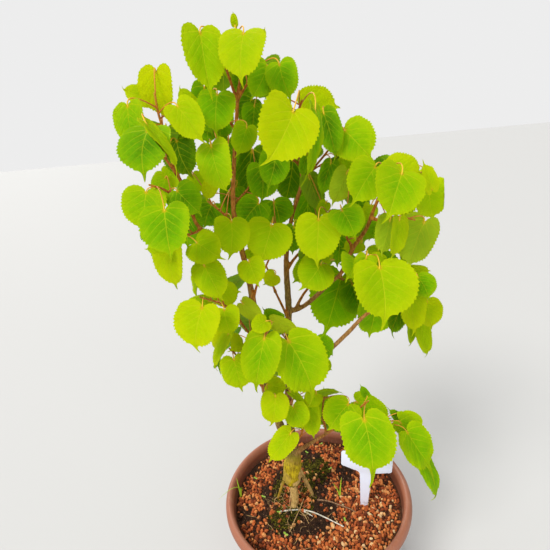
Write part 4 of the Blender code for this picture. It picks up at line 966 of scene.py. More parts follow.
def barkFinish():
    look = Finish("limeBark", 0.78, 0.15)
    place = look.place()
    age = look.own("age")
    drawn = place.stretched(1, 1, 0.25)
    fissures = drawn.speckle(700, 4, 0.65)
    old = fissures.ease(0.38, 0.62).blend(barkForm["oldDark"], barkForm["old"])
    old = place.speckle(70).ease(0.50, 0.66, 0.0, 0.55).blend(old, barkForm["green"])
    young = fissures.ease(0.35, 0.7).blend(barkForm["young"], barkForm["youngPale"])
    pores = drawn.cells(620).ease(0.10, 0.22, 1.0, 0.0)
    young = (pores * 0.4).blend(young, barkForm["pores"])
    tan = fissures.ease(0.35, 0.65).blend(barkForm["tanDark"], barkForm["tan"])
    low = place.parts()[2].ease(0.36, 0.46, 1.0, 0.3)
    base = (low * age.ease(0.03, 0.28)).blend(young, tan)
    base = age.ease(0.40, 0.80).blend(base, old)
    rooty = fissures.ease(0.35, 0.6).blend(barkForm["rootDark"], barkForm["root"])
    base = look.own("root").blend(base, rooty)
    felt = drawn.speckle(520, 4, 0.7).ease(0.36, 0.60).blend(barkForm["sleeveDark"], barkForm["sleeve"])
    base = (look.own("moss") * place.speckle(150, 4).ease(0.1, 0.4)).blend(base, felt)
    return look.done(base, fissures + pores * 0.3, 0.0006)


def markBark(mesh, spine):
    # how old the wood is, and where it is mossy, a root, or fringed with tufts of moss; on the left root the
    # moss and root marks also carry painted shade
    near = KDTree(len(spine))
    for number, (point, _, _) in enumerate(spine):
        near.insert(point, number)
    near.balance()
    rim = min(point.z for point, _, stem in spine if stem == "base")
    marks = {"age": [], "moss": [], "root": [], "fringe": []}
    for vertex in mesh.vertices:
        _, radius, stem = spine[near.find(vertex.co)[1]]
        high = clamped((barkForm["mossHigh"] - vertex.co.z) / barkForm["mossFade"])
        rooted = stem in rootsInSoil["names"]
        # the left root lies in shade: more of the darker mossy felt and less of the pale root colour is painted
        # on it, as painted shade
        shaded = stem == "left_root"
        mossy = min(1.0, high * (1.1 + 0.4 * noise.noise(vertex.co * 130)))
        marks["age"].append(clamped((radius - barkForm["youngRadius"]) / barkForm["ageSpan"]))
        marks["moss"].append(0.6 if shaded else 0.12 if rooted else mossy)
        marks["root"].append(0.4 if shaded else 1.0 if rooted else 0.0)
        atRim = abs(vertex.co.z - rim) < barkForm["fringeWidth"]
        marks["fringe"].append(high * (1.0 if atRim else 0.0 if rooted else 0.10))
    for name, values in marks.items():
        setPoints(mesh, name, values)


def makeTree():
    verts, faces, spine = treeShape()
    rough = meshObject("stemTubes", verts, faces)
    remesh = rough.modifiers.new("grow together", "REMESH")
    remesh.mode = "VOXEL"
    remesh.voxel_size = barkForm["voxel"]
    soften = rough.modifiers.new("soften", "SMOOTH")
    soften.factor = 0.5
    soften.iterations = barkForm["smoothing"]
    grown = settled(rough, "grownStems")
    markBark(grown.data, spine)
    grown.data.shade_smooth()
    values = {"Ridge Height": barkForm["ridge"], "Finish": barkFinish()}
    tree = madeByTree(grown, barkTree(), "tree_bark", values)
    strew("tree_moss", tree.data, mossTufts, mossLook, "bark")
    keepAttributes(tree, "age", "moss", "root")
    print("tree", len(tree.data.polygons), "faces")
    return finishPiece(tree, "bark", "tree")


makeTree()
dropCollection(mossTufts)
print("tree made")


# The leaves: for each, the places of its notch and tip in mm, the turn of its blade about its midrib in
# degrees, its breadth in mm, how far along the twig its stalk stands in mm, its tone from 0, deep in the
# crown, to 6, yellow, which is partly the leaf's own colour and partly painted shade and painted light,
# and where they differ the stalk's arch and the share of its drip tip
leaves = {
    "left_tip": [
        ((-106, -76, 621), (-106, -66, 586), -173, 27, 46, 6),
        ((-125, -100, 596), (-120, -106, 565), 45, 23, 41, 2.5),
        ((-91, -88, 594), (-73, -100, 564), 56, 25, 37, 4.5),
        ((-115, -87, 579), (-126, -90, 550), -70, 23, 28, 2),
        ((-115, -59, 604), (-142, -53, 615), -94, 16, 23, 5, -0.3),
        ((-82, -57, 594), (-95, -51, 613), -78, 13, 33, 4.5),
        ((-110, -50, 582), (-117, -7, 554), 1, 47, 18, 1, 0.3),
    ],
    "left_front": [
        ((-108, -122, 577), (-112, -134, 544), -9, 37, 31, 1.5),
        ((-105, -40, 570), (-94, -46, 536), 67, 32, 26, 0, -0.3),
        ((-104, -138, 581), (-86, -144, 546), 5, 14, 31, 4),
        ((-117.7, -111.9, 565.1), (-136.4, -111.9, 566.7), -96, 9, 21, 4, 0.15),
        ((-121, -14, 546), (-119, -7, 524), 176, 17, 16, 4, 0.9),
    ],
    "left_middle": [
        ((-108, -113, 520), (-105, -128, 484), 16, 39, 34, 2),
        ((-128, -82, 532), (-136, -91, 499), -30, 38, 29, 3),
        ((-102, -85, 531), (-83, -91, 510), 68, 28, 23, 1.5),
        ((-114.2, -66.2, 540.9), (-126.3, -63.1, 522.9), -98, 20, 19, 3),
        ((-122, -56, 516), (-146, -48, 476), -13, 43, 4, 1, 0.3),
        ((-115, 24, 495), (-123, 27, 454), -101, 34, 10, 1),
    ],
    "left_hanging": [
        ((-116, -85, 489), (-115, -82, 444), 179, 28, 25, 5),
        ((-93, -82, 486), (-70, -97, 472), 52, 30, 20, 4),
        ((-116, -44, 501), (-134, -27, 450), -23, 52, 6, 1, 0.3),
        ((-116.6, -94.1, 487.6), (-134, -97.2, 487.4), -76, 13, 11, 4, 0.9),
    ],
    "left_inner": [
        ((-64, -57, 497), (-69, -69, 464), -28, 32, 13, 4),
        ((-83, -29, 510), (-94, -26, 486), -100, 29, 23, 1),
        ((-99.3, -16.6, 537.2), (-89.5, -13.5, 519.6), 105, 17, 28, 4),
        ((-60, -3, 522), (-73, -3, 503), -77, 26, 18, 1),
        ((-65, -10, 516), (-67, -6, 485), -145, 24, 9, 1),
    ],
    "left_low": [
        ((-94, -97, 432), (-104, -104, 393), -36, 41, 77, 5),
        ((-77, -85, 423), (-72, -93, 400), 32, 26, 66, 4.5),
        ((-90, -79, 464), (-77, -88, 431), 62, 29, 71, 4),
        ((-87, -51, 428), (-63, -44, 425), 77, 25, 61, 5),
        ((-83, -63, 392), (-96, -61, 370), -75, 16, 35, 6),
        ((-94, -59, 460), (-108, -53, 419), -47, 24, 56, 4),
        ((-96, -49, 419), (-123, -43, 417), -69, 16, 46, 4, 0.15),
        ((-61, -20, 386), (-63, 9, 344), 22, 47, 3, 1, 0.3),
        ((-82, -34, 390), (-105, -19, 368), 4, 33, 19, 1, 0.3),
        ((-100, -30, 406), (-124, -8, 384), -16, 38, 40, 1, 0.3),
    ],
    "left_bottom": [
        ((-75, -80, 370), (-71, -82, 333), 63, 29, 66, 4, 0.5, 0.22),
        ((-78, -72, 393), (-98, -64, 352), -54, 16, 61, 4.5),
        ((-67, -60, 376), (-77, -88, 382), -50, 21, 56, 6),
        ((-75, -31, 339), (-86, 4, 309), -20, 44, 37, 1, 0.3),
        ((-52, -10, 333), (-46, 8, 288), 24, 45, 7, 1, 0.3),
        ((-73, -30, 336), (-81, -11, 308), -20, 31, 23, 1, 0.3),
        ((-37, -37, 341), (1, -30, 307), 14, 48, 18, 1, 0.3),
    ],
    "middle_left": [
        ((-44, -86, 392), (-58, -89, 335), -73, 35, 40, 3, 0.5, 0.24),
        ((-62, -63, 419), (-42, -69, 402), -117, 17, 35, 6),
        ((-36, -53, 393), (-8, -59, 383), -121, 16, 30, 6),
        ((-40.9, -84, 408.3), (-56.1, -89.9, 401.6), -57, 17, 20, 4.5, -0.3),
        ((-28, -38, 388), (-46, -34, 401), -61, 14, 25, 1.5),
        ((-27, -47, 365), (-40, -48, 342), -79, 15, 15, 2),
        ((-80, -26, 365), (-102, -16, 320), -13, 47, 2, 1, 0.3),
    ],
    "front": [
        ((-22, -76, 382), (-1, -79, 308), 64, 51, 54, 3, 0.15, 0.27),
        ((8, -31, 351), (27, -28, 334), 63, 28, 34, 1.5),
        ((11.7, -5.1, 316), (27.8, -5.8, 301.5), 61, 17, 2, 4),
        ((-4, 10, 336), (15, 27, 310), -19, 36, 16, 1, 0.3),
        ((-35, -7, 354), (-77, 15, 328), 1, 49, 25, 1, 0.3),
    ],
    "base_left": [
        ((-40, -61, 312), (-48, -66, 278), -53, 29, 34, 5, 0.5, 0.22),
        ((-47, -39, 313), (-25, -41, 307), 60, 22, 29, 5),
    ],
    "base_front": [
        ((-28, -44, 250), (-56, -55, 222), -41, 26, 24, 4.5),
        ((-5, -34, 280), (-2, -44, 238), 18, 22, 18, 4),
        ((15, 1, 221), (48, 24, 187), 0, 49, 8, 1, 0.3),
    ],
    "base_right": [
        ((-22, -51, 290), (-14, -57, 264), 50, 27, 37, 3.5),
        ((4.6, -32.1, 290.5), (-7, -39.1, 277.7), -52, 20, 32, 4.5),
        ((-24, -41, 302), (-8, -45, 279), 12, 12, 28, 4),
        ((3, -25, 282), (38, -20, 281), -12, 19, 23, 4),
    ],
    "low_middle": [
        ((37, -50, 286), (13, -56, 257), -56, 37, 36, 3),
        ((21, -11, 269), (8, -17, 247), -64, 23, 31, 3),
        ((18.5, 4.6, 259.7), (17.6, 5.9, 274.5), -34, 7, 5, 3),
        ((4, 5, 241), (-4, 27, 193), -21, 49, 1, 1, 0.3),
    ],
    "low_end": [
        ((47, -82, 290), (50, -91, 205), 23, 52, 35, 2.5, 0.5, 0.42),
        ((51, -28, 272), (92, -28, 242), 59, 29, 3, 3),
        ((57.8, -49, 293.9), (51, -47.2, 308.4), -63, 9, 29, 1.5),
    ],
    "low_right": [
        ((96, -66, 256), (130, -73, 187), 48, 38, 43, 2.5, 0.5, 0.44),
        ((94, -50, 256), (128, -50, 208), 44, 28, 39, 2.5, 0.5, 0.22),
        ((114, -50, 217), (136, -54, 147), 42, 23, 34, 2),
        ((103, -41, 257), (124, -38, 236), 64, 16, 29, 4),
        ((97.9, -36.4, 249), (83.6, -34.4, 265.2), -51, 11, 24, 1),
        ((94.9, -38.5, 245.5), (87.1, -38.2, 235.1), -72, 10, 19, 4, -0.3),
        ((57, -17, 248), (60, 25, 216), 25, 47, 14, 1, 0.3),
    ],
    "right_end": [
        ((91, -85, 429), (93, -93, 383), 5, 26, 25, 5),
        ((96, -87, 438), (103, -96, 418), 30, 23, 16, 2),
        ((98.8, -58.5, 433.8), (119.3, -58.4, 433.8), 79, 14, 21, 5),
        ((114, -63, 403), (118, -66, 374), 41, 25, 12, 5),
        ((78, -29, 416), (68, -7, 392), 12, 31, 2, 1, 0.3),
        ((110, -21, 416), (126, 15, 393), -17, 40, 7, 1, 0.3),
    ],
    "right_low": [
        ((76, -19, 392), (66, -22, 348), -85, 45, 8, 2),
        ((99, -50, 408), (83, -49, 361), -37, 25, 15, 0),
        ((116, -41, 372), (126, -40, 328), 78, 18, 38, 4),
        ((107, -38, 371), (108, -37, 342), 104, 14, 32, 4),
        ((89, -8, 399), (82, 14, 364), -14, 39, 20, 1, 0.3),
        ((115, 7, 384), (128, 41, 360), -9, 39, 26, 1, 0.3),
    ],
    "right_back": [
        ((50, 41, 400), (21, 23, 324), -52, 63, 40, 2, 0.5, 0.26),
        ((60, 24, 396), (68, 14, 354), 39, 36, 34, 1.5),
        ((57, 10, 422), (92, 19, 387), 15, 46, 10, 1, 0.3),
        ((60, 37, 409), (79, 63, 389), 10, 35, 15, 1, 0.3),
    ],
    "middle_right": [
        ((58, -103, 456), (56, -118, 404), -17, 54, 40, 4, 0.5, 0.24),
        ((50, -90, 461), (39, -96, 435), -53, 19, 36, 3),
        ((44, -72, 455), (30, -96, 444), -41, 28, 31, 3),
        ((64.4, -60, 453.3), (78.4, -60, 447.1), 72, 9, 27, 4.5),
        ((70.6, -50.7, 456), (57.2, -50.7, 455.3), -74, 10, 23, 4),
        ((70, -42, 441), (106, -42, 416), 22, 43, 13, 1, 0.3),
        ((62, -17, 430), (86, 5, 404), 9, 38, 3, 1, 0.3),
    ],
    "middle_back": [
        ((17, -38, 443), (-7, -51, 422), -55, 37, 27, 3.5),
        ((10, -14, 439), (-12, -17, 418), -78, 25, 22, 3),
        ((30, 34, 430), (36, 78, 397), -16, 51, 17, 1, 0.3),
        ((27, -33.7, 446.3), (15.5, -33.7, 455.7), -75, 12, 13, 4),
        ((-5, -4, 475), (-8, -4, 445), -91, 24, 8, 1),
    ],
    "middle_top": [
        ((16, -48, 490), (10, -60, 445), -21, 41, 37, 4.5, 0.5, 0.2),
        ((15, 5, 523), (25, -1, 485), -128, 23, 33, 1),
        ((16, 42, 499), (2, 39, 439), -72, 32, 14, 1),
        ((54, 18, 481), (78, 35, 434), -16, 51, 24, 1, 0.3),
        ((29.3, -7.3, 498.1), (19.5, -7.3, 485.6), -88, 13, 19, 4),
        ((44, 16, 462), (40, 16, 420), -95, 38, 9, 1),
    ],
    "right_fork": [
        ((36, -60, 498), (45, -72, 472), 34, 30, 21, 2),
        ((48, -26, 528), (30, -32, 498), 110, 23, 12, 4, 0.15),
        ((61, -17, 502), (62, -20, 459), 21, 21, 7, 1),
        ((61.4, -19.7, 456.1), (41.2, -16.6, 449.8), -89, 18, 3, 5),
        ((27, -30, 472), (-7, -27, 440), 25, 41, 16, 1, 0.3),
    ],
    "crown_right": [
        ((75, -106, 531), (57, -125, 496), -55, 41, 5, 3, 0.5, 0.2),
        ((58, -91, 536), (36, -103, 508), -63, 33, 1, 3),
        ((79, -63, 530), (110, -57, 523), 77, 30, 1, 5),
    ],
    "crown_right_low": [
        ((106, -72, 484), (89, -82, 443), 121, 37, 28, 3.5),
        ((72, -85, 491), (61, -94, 462), 128, 21, 18, 3.5),
        ((76, -97, 493), (67, -103, 460), -84, 19, 24, 4.5),
        ((100, -60, 476), (87, -60, 439), -95, 18, 13, 3),
        ((72.5, -40.6, 481.8), (63.6, -40.6, 463), -83, 20, 3, 2),
        ((69.9, -29, 494.6), (62.8, -29, 479.5), -102, 17, 9, 4),
    ],
    "crown_right_edge": [
        ((113, -32, 522), (98, -48, 475), 6, 35, 38, 4.5),
        ((116, -61, 510), (108, -58, 536), -53, 15, 33, 5),
        ((129, -20, 508), (135, -20, 471), 76, 39, 12, 4, 0.9),
        ((83, -38, 532), (55, -22, 509), -24, 36, 28, 1, 0.3),
    ],
    "right_top": [
        ((45, -38, 566), (68, -48, 538), 62, 40, 57, 3),
        ((26, -43, 582), (34, -52, 540), 38, 23, 51, 1),
        ((35, -14, 537), (24, -17, 504), -74, 17, 31, 1),
        ((43.9, 8.2, 541.4), (60, 8.2, 528.1), 91, 20, 26, 0),
        ((47, -13, 541), (75, -13, 530), 92, 21, 41, 4),
        ((53, 14, 568), (75, 53, 541), 11, 48, 46, 1, 0.3),
        ((46, 32, 530), (62, 46, 503), 10, 31, 7, 1, 0.3),
        ((39, 4, 528), (54, 3, 483), -11, 42, 12, 1, 0.3),
        ((42, 32, 528), (55, 43, 488), 6, 39, 3, 1, 0.3),
    ],
    "centre_top": [
        ((-4, -94, 583), (-30, -113, 545), -64, 46, 9, 5),
        ((14, -82, 583), (-1, -97, 527), -95, 18, 4, 2.5),
        ((11, -16, 588), (48, -10, 588), 91, 39, 4, 5),
        ((-11.7, -29.8, 591.8), (-16, -26.7, 604.1), -54, 11, 0, 4.5, 0.9),
        ((-34, -7, 595), (-39, -4, 571), -124, 23, 9, 1),
    ],
    "centre": [
        ((-19, -48, 550), (-32, -57, 517), -57, 27, 28, 1, 0.5, 0.28),
        ((2, 42, 541), (-12, 42, 492), -100, 40, 3, 0),
        ((13, -7, 547), (6, -10, 524), -70, 11, 8, 1),
        ((-17, 23, 558), (-30, 59, 530), -20, 45, 12, 1, 0.3),
        ((8, 6, 562), (24, 24, 535), 12, 35, 22, 1, 0.3),
    ],
    "centre_low": [
        ((-28, -47, 488), (-43, -62, 454), -45, 43, 35, 4),
        ((-23, 6, 502), (-20, 3, 474), 33, 35, 30, 1),
        ((-53.1, -19.7, 459.5), (-46.2, -19.7, 446), 85, 12, 25, 4),
        ((-40, 30, 481), (-54, 46, 454), -11, 33, 10, 1, 0.3),
        ((-41, 7, 468), (-55, 5, 432), 17, 34, 4, 1, 0.3),
    ],
    "left_twin": [
        ((-51, -72, 462), (-44, -82, 440), 43, 25, 39, 4.5, -0.3),
    ],
    "thin": [
        ((-29, -41.4, 437.4), (-41.6, -47.6, 429.8), -53, 17, 35, 6),
        ((-60, -4, 428), (-89, 5, 392), 21, 46, 9, 1, 0.3),
    ],
    "left_upper": [
        ((-39, -17, 505), (-59, -26, 483), -72, 32, 11, 1),
        ((-41, 9, 554), (-52, 3, 498), -65, 30, 33, 0),
        ((-89, -8, 514), (-127, 6, 489), 5, 43, 1, 1, 0.3),
        ((-32, -15, 539), (-36, -12, 504), -131, 31, 27, 1),
    ],
    "left_crown": [
        ((-70, -85, 563), (-61, -100, 528), 41, 28, 32, 3, 0.5, 0.08),
        ((-73.7, -72.4, 535.3), (-82, -72.4, 518.5), -78, 14, 27, 6),
        ((-62, -4, 567), (-66, -1, 533), -122, 24, 2, 1),
        ((-80, -1, 589), (-83, -1, 563), -85, 24, 7, 1, -0.3),
    ],
    "crown_left": [
        ((-82, -10, 597), (-76, -14, 571), 65, 20, 7, 1),
        ((-62, -66, 602), (-66, -76, 569), -32, 30, 34, 2),
        ((-42, -41, 576), (-54, -48, 551), -59, 22, 2, 3),
        ((-75, -38, 611), (-88, -35, 578), -109, 22, 29, 1),
        ((-36, 24, 604), (-53, 24, 583), -99, 26, 13, 0),
        ((-68, 5, 592), (-71, 8, 564), -133, 27, 19, 1),
    ],
    "top_left": [
        ((-69, -72, 645), (-65, -84, 597), -10, 33, 45, 3.5),
        ((-61, -40, 650), (-61, -37, 616), 120, 15, 39, 2),
        ((-56.5, -32.1, 634.6), (-52.3, -29, 613.4), 138, 9, 14, 3),
    ],
    "top": [
        ((-36, -82, 640), (-41, -97, 602), -11, 34, 41, 4.5, 0.05),
        ((-42.8, -50.7, 653.3), (-43.2, -50.7, 663.2), -101, 6, 19, 5, -0.3),
        ((-25.6, -38.3, 640.8), (-17.7, -35.2, 653.5), 84, 8, 30, 5),
        ((-50, -23, 645), (-61, 0, 603), -16, 45, 35, 1, 0.3),
        ((-59, -21, 648), (-75, -4, 622), 12, 33, 25, 1, 0.3),
    ],
    "top_right": [
        ((-10, -57, 621), (-2, -63, 591), 53, 26, 29, 2),
        ((-20, -51, 621), (-37, -54, 596), -81, 24, 23, 2, 0.15),
        ((-19, -32, 621), (-24, -32, 596), -152, 14, 18, 2),
        ((-40.4, -16.6, 622.1), (-45.7, -13.5, 601.1), -120, 19, 8, 1),
        ((-26, 2, 629), (-17, 40, 601), -19, 44, 13, 1, 0.3),
    ],
}
bladeForm = {
    "thick": 0.0004, "arch": 0.08, "fold": 0.17, "crease": 0.05, "ripple": 0.040, "flutter": 0.026,
    "drip": 0.17, "curl": 0.07, "sway": 0.20,
    # one side of the outline: across as a share of the breadth, along as a share of the length
    "outline": [(0, 0), (0.03, -0.05), (0.10, -0.110), (0.215, -0.146), (0.345, -0.122), (0.45, -0.035),
                (0.503, 0.11), (0.509, 0.27), (0.485, 0.43), (0.428, 0.575), (0.333, 0.688), (0.216, 0.764),
                (0.104, 0.808), (0.050, 0.848), (0.030, 0.90), (0.019, 0.955), (0, 1)],
    "patterns": 6, "middle": (0, 0.33), "rings": [0.28, 0.55, 0.78, 0.93], "smooth": 9, "teeth": 15,
    "dripSteps": 5, "toothFrom": 0.24, "toothTo": 0.84, "toothDepth": 0.030,
    "toothSpread": 0.08, "toothUneven": 0.25, "baseRipple": 0.006,
    "stalkArch": 0.5, "stalkRadius": 0.00060, "stalkSteps": 10, "stalkSides": 6, "twigSides": 9,
    "footSwell": 0.55, "headSwell": 0.25,         # how much thicker a stalk is at the twig and at the blade
}
bladeInputs = ["Thick", "Arch", "Fold", "Crease", "Ripple", "Flutter", "Drip", "Curl", "Sway"]


def patternSide(draw):
    # one side of a blade's outline: smooth at the base, toothed further out, with the drip tip at its end
    control = [Vector((x * draw.uniform(0.97, 1.02), y + draw.uniform(-0.01, 0.01) * (0 < y < 0.8)))
               for x, y in bladeForm["outline"]]
    path, _ = smoothPath(control, [0.0] * len(control), 12)
    runs = [0.0]
    for a, b in zip(path, path[1:]):
        runs.append(runs[-1] + (b - a).length)

    def at(share):
        run = share * runs[-1]
        number = max(n for n in range(len(runs)) if runs[n] <= run + 1e-9)
        number = min(number, len(path) - 2)
        t = (run - runs[number]) / (runs[number + 1] - runs[number])
        step = path[number + 1] - path[number]
        return path[number] + step * t, Vector((step.y, -step.x)).normalized()

    low, high = bladeForm["toothFrom"], bladeForm["toothTo"]
    smooth = []
    toothed = []
    for step in range(1, bladeForm["smooth"] + 1):
        point, out = at(low * step / (bladeForm["smooth"] + 1))
        smooth.append(point)
        toothed.append(point + out * bladeForm["baseRipple"] * (-1) ** step)
    for tooth in range(bladeForm["teeth"]):
        for half, reach in ((0.12, -0.35), (0.76, 0.65)):
            place = tooth + half + draw.uniform(-bladeForm["toothSpread"], bladeForm["toothSpread"])
            point, out = at(low + (high - low) * place / bladeForm["teeth"])
            uneven = draw.uniform(1 - bladeForm["toothUneven"], 1 + bladeForm["toothUneven"])
            grown = min(1.0, (tooth + 2) / 6) * uneven
            smooth.append(point)
            toothed.append(point + out * bladeForm["toothDepth"] * reach * grown)
    for step in range(1, bladeForm["dripSteps"] + 1):
        point, _ = at(high + (1 - high) * step / (bladeForm["dripSteps"] + 0.6))
        smooth.append(point)
        toothed.append(point)
    return smooth, toothed


def bladePattern(number):
    # a flat blade one unit long: its plan is kept as x, y and the side of the blade
    draw = random.Random(100 + number)
    right = patternSide(draw)
    left = patternSide(draw)
    smooth, toothed = (
        [Vector((0, 0)), *one, Vector((0, 1))] + [Vector((-point.x, point.y)) for point in reversed(other)]
        for one, other in zip(right, left))
    middle = Vector(bladeForm["middle"])
    count = len(toothed)
    plan = []
    rim = []
    faces = []
    rings = bladeForm["rings"] + [1.0]
    for side in (1, -1):
        plan.append((*middle, side))
        rim.append(0.0)
        first = len(plan)
        for share in rings:
            for point in toothed if share == 1.0 else smooth:
                plan.append((*(middle + (point - middle) * share), side))
                rim.append(share)
        for step in range(count):
            strip = [[first - 1, first + (step + 1) % count, first + step]]
            for ring in range(len(rings) - 1):
                strip.append(between(first + ring * count, first + (ring + 1) * count, count, step))
            faces += strip if side == 1 else [face[::-1] for face in strip]
    surface = len(faces)
    upper = 1 + (len(rings) - 1) * count
    lower = upper + 1 + len(rings) * count
    faces += [between(upper, lower, count, step) for step in range(count)]
    mesh = newMesh(f"bladePattern{number}", [(x, y, 0) for x, y, _ in plan], faces)
    setPoints(mesh, "plan", plan, "FLOAT_VECTOR")
    setPoints(mesh, "rim", rim)
    mesh.shade_smooth()
    mesh.polygons.foreach_set("use_smooth", [face < surface for face in range(len(faces))])
    return bpy.data.objects.new(f"bladePattern{number}", mesh)


def shootTree():
    # blades set on their notches and bent to shape, with their stalks and the twig
    tree, given, result = newTree(
        "shootTree", Collection=["Blades"], Object=["Stalk", "Twig"], Float=bladeInputs,
        Int=["Stalk Sides", "Twig Sides"], Material=["Leaf Finish", "Stalk Finish", "Twig Finish"])
    kind = stored(tree, "kind", "INT")
    whole = given["Geometry"].to("GeometryNodeInstanceOnPoints", {
        "Instance": oneOf(given["Blades"]), "Pick Instance": True, "Instance Index": kind})
    x, y, side = stored(tree, "plan", "FLOAT_VECTOR").parts()
    length, breadth, drip = stored(tree, "size", "FLOAT_VECTOR").parts()
    seed = stored(tree, "seed")
    # the drip tip takes its own share of the length
    body = 1.0 - given["Drip"]
    tipPart = (y - body).calc("MAXIMUM", 0.0) / given["Drip"]
    run = y.calc("MINIMUM", body) * ((1.0 - drip) / body) + tipPart * drip
    own = (seed * 7.0).calc("SINE")
    arch = run * (1.0 - run) * (given["Arch"] * (4.0 - own * 2.0))
    away = (x * x + given["Crease"] * given["Crease"]).calc("SQRT") - given["Crease"]
    fold = away * (given["Fold"] * (own * 0.75 + 1.0)) * breadth
    wave = (combined(tree, x * 2.4, y * 2.4, seed).speckle(1.0, 1.0) - 0.5) * given["Ripple"]
    margin = given["Flutter"] * stored(tree, "rim").calc("POWER", 3.0)
    flutter = (combined(tree, x * 7.0, y * 7.0, seed).speckle(1.0, 1.0) - 0.5) * margin
    bend = tipPart * tipPart * (length * given["Curl"])
    lift = (arch + (wave * 2.0 + flutter * 2.0)) * length + fold - bend + side * (given["Thick"] * 0.5)
    # the midrib sways a little, and the drip tip swings to one side
    sway = run * (1.0 - run) * (length * given["Sway"]) * (seed * 11.0).calc("SINE")
    sideways = x * breadth + (sway + bend * (seed * 5.0).calc("SINE"))
    point = stored(tree, "notch", "FLOAT_VECTOR")
    for direction, reach in (("along", run * length), ("across", sideways), ("facing", lift)):
        point = point.moved(stored(tree, direction, "FLOAT_VECTOR").scaled(reach))
    shaped = whole.realized().to("GeometryNodeSetPosition", {"Position": point}).keep("part", 0, "INT")

    def strand(name, number):
        curve = given[name].to("GeometryNodeObjectInfo", output="Geometry")
        return strandMesh(tree, curve, given[name + " Sides"]).keep("part", number, "INT")

    joined = addNode(tree, "GeometryNodeJoinGeometry")
    for shape in (strand("Twig", 2), strand("Stalk", 1), shaped):
        put(joined.inputs[0], shape)
    whole = Field(joined.outputs[0]).realized()
    for number, name in enumerate(("Leaf Finish", "Stalk Finish", "Twig Finish")):
        ends = {2: stored(tree, "part", "INT"), 3: number}
        same = made(tree, "FunctionNodeCompare", ends, data_type="INT", operation="EQUAL")
        whole = whole.to("GeometryNodeSetMaterial", {"Selection": same, "Material": given[name]})
    put(result, whole)
    return tree


leafLook = {
    # the tones run from dark green, painted shade for leaves deep in the crown, to lit yellow, painted light
    "tones": [(0.0, (0.045, 0.20, 0.0)), (0.17, (0.14, 0.42, 0.0)), (0.34, (0.24, 0.56, 0.0)),
              (0.5, (0.38, 0.63, 0.0)), (0.80, (0.58, 0.73, 0.0)), (1.0, (0.73, 0.78, 0.0))],
    "paintedLightRim": (0.74, 0.78, 0.004), "veinColour": (0.82, 0.82, 0.02), "underside": (0.52, 0.62, 0.04),
    "joint": (0.85, 0.58, 0.02), "glow": (0.66, 0.88, 0.0), "glowShare": 0.50,
    "veinStep": 0.165, "veinWidth": 0.015, "midribWidth": 0.015, "shadeInside": 0.22,
    "stalk": [(0.0, (0.50, 0.11, 0.010)), (0.35, (0.66, 0.25, 0.015)), (0.75, (0.78, 0.46, 0.020)),
              (0.92, (0.78, 0.62, 0.02))],
    "stalkCloud": (0.40, 0.15, 0.03), "twig": (0.32, 0.080, 0.006), "twigPale": (0.56, 0.20, 0.020),
    "twigEnd": (0.56, 0.32, 0.03), "twigPores": (0.55, 0.38, 0.20),
}


def veins(x, y, wander):
    # the midrib, the side veins that leave it and those that fan out of the notch: 1 on a vein
    step = leafLook["veinStep"]
    wide = leafLook["veinWidth"]
    side = x.calc("ABSOLUTE")
    level = y - (side * 0.72 + side * side * 0.45) + (wander - 0.5) * 0.09
    fanStep = (side + 0.05) * 0.68
    turn = level.calc("MAXIMUM", 0.0) / step + level.calc("MINIMUM", 0.0) / fanStep
    off = ((turn + 0.5).calc("FRACT") - 0.5).calc("ABSOLUTE")
    gap = off * (level.calc("LESS_THAN", 0.0) * (fanStep - step) + step)
    lateral = gap.ease(wide * 0.3, wide, 1.0, 0.0)
    # the side veins are strong near the joint and fade towards the margin and the tip
    lateral = lateral * combined(x.tree, x, y).length().ease(0.08, 0.62, 0.9, 0.32)
    midrib = side.ease(0.004, leafLook["midribWidth"], 1.0, 0.0)
    return midrib.calc("MAXIMUM", lateral), off


def leafFinish():
    look = Finish("limeLeaf", 0.55, 0.06)
    x, y, side = look.own("plan", "Vector").parts()
    tone, seed, rim = (look.own(name) for name in ("tone", "seed", "rim"))
    lower = side.ease(-0.2, 0.2, 1.0, 0.0)
    spot = combined(look.tree, x, y, seed)
    mask, off = veins(x, y, spot.speckle(3.0, 1))
    mottled = spot.speckle(3.2) * 0.34 + spot.speckle(17.0) * 0.22
    # a leaf's tone is partly its own colour and partly painted light and shade; each blade's middle is painted
    # darker than its margin, as painted shade
    level = tone / 6.0 + (mottled - 0.28) + (rim - 0.62) * leafLook["shadeInside"]
    base = level.ramp(leafLook["tones"])
    network = spot.cells(34.0, "DISTANCE_TO_EDGE").ease(0.0, 0.12, 1.0, 0.0)
    base = (network * 0.20).blend(base, leafLook["veinColour"])
    base = (mask * lower.ease(0.0, 1.0, 0.55, 0.85)).blend(base, leafLook["veinColour"])
    # the margin is painted lighter yellow, more on the brighter leaves: painted light
    edge = rim.ease(0.50, 1.0, 0.0, 0.30) + rim.ease(0.93, 1.0, 0.0, 0.30)
    base = (edge * tone.ease(0.0, 4.0, 0.35, 1.0)).blend(base, leafLook["paintedLightRim"])
    base = (lower * 0.5).blend(base, leafLook["underside"])
    base = combined(look.tree, x, y).length().ease(0.015, 0.065, 0.85, 0.0).blend(base, leafLook["joint"])
    quilt = off.ease(0.0, 0.5, 0.0, 0.30) - mask * 0.5
    height = quilt + spot.speckle(9.0, 1) * 1.6 + (1.0 - network) * 0.3
    normal = look.bump(height * (1.0 - lower * 2.0), 0.00058, 0.7)
    light = tone.ease(0.0, 4.0, 0.15, 0.45).blend(base, leafLook["glow"])
    glow = made(look.tree, "ShaderNodeBsdfTranslucent", {"Color": light, "Normal": normal})
    ends = {0: leafLook["glowShare"], 1: Field(look.shader.outputs["BSDF"]), 2: glow}
    put(look.tree.nodes["Material Output"].inputs["Surface"], made(look.tree, "ShaderNodeMixShader", ends))
    return look.done(base)


def stalkFinish():
    look = Finish("leafStalk", 0.5, 0.35)
    cloud = look.place().speckle(160, 2).ease(0.45, 0.7, 0.0, 0.25)
    return look.done(cloud.blend(look.own("run").ramp(leafLook["stalk"]), leafLook["stalkCloud"]))


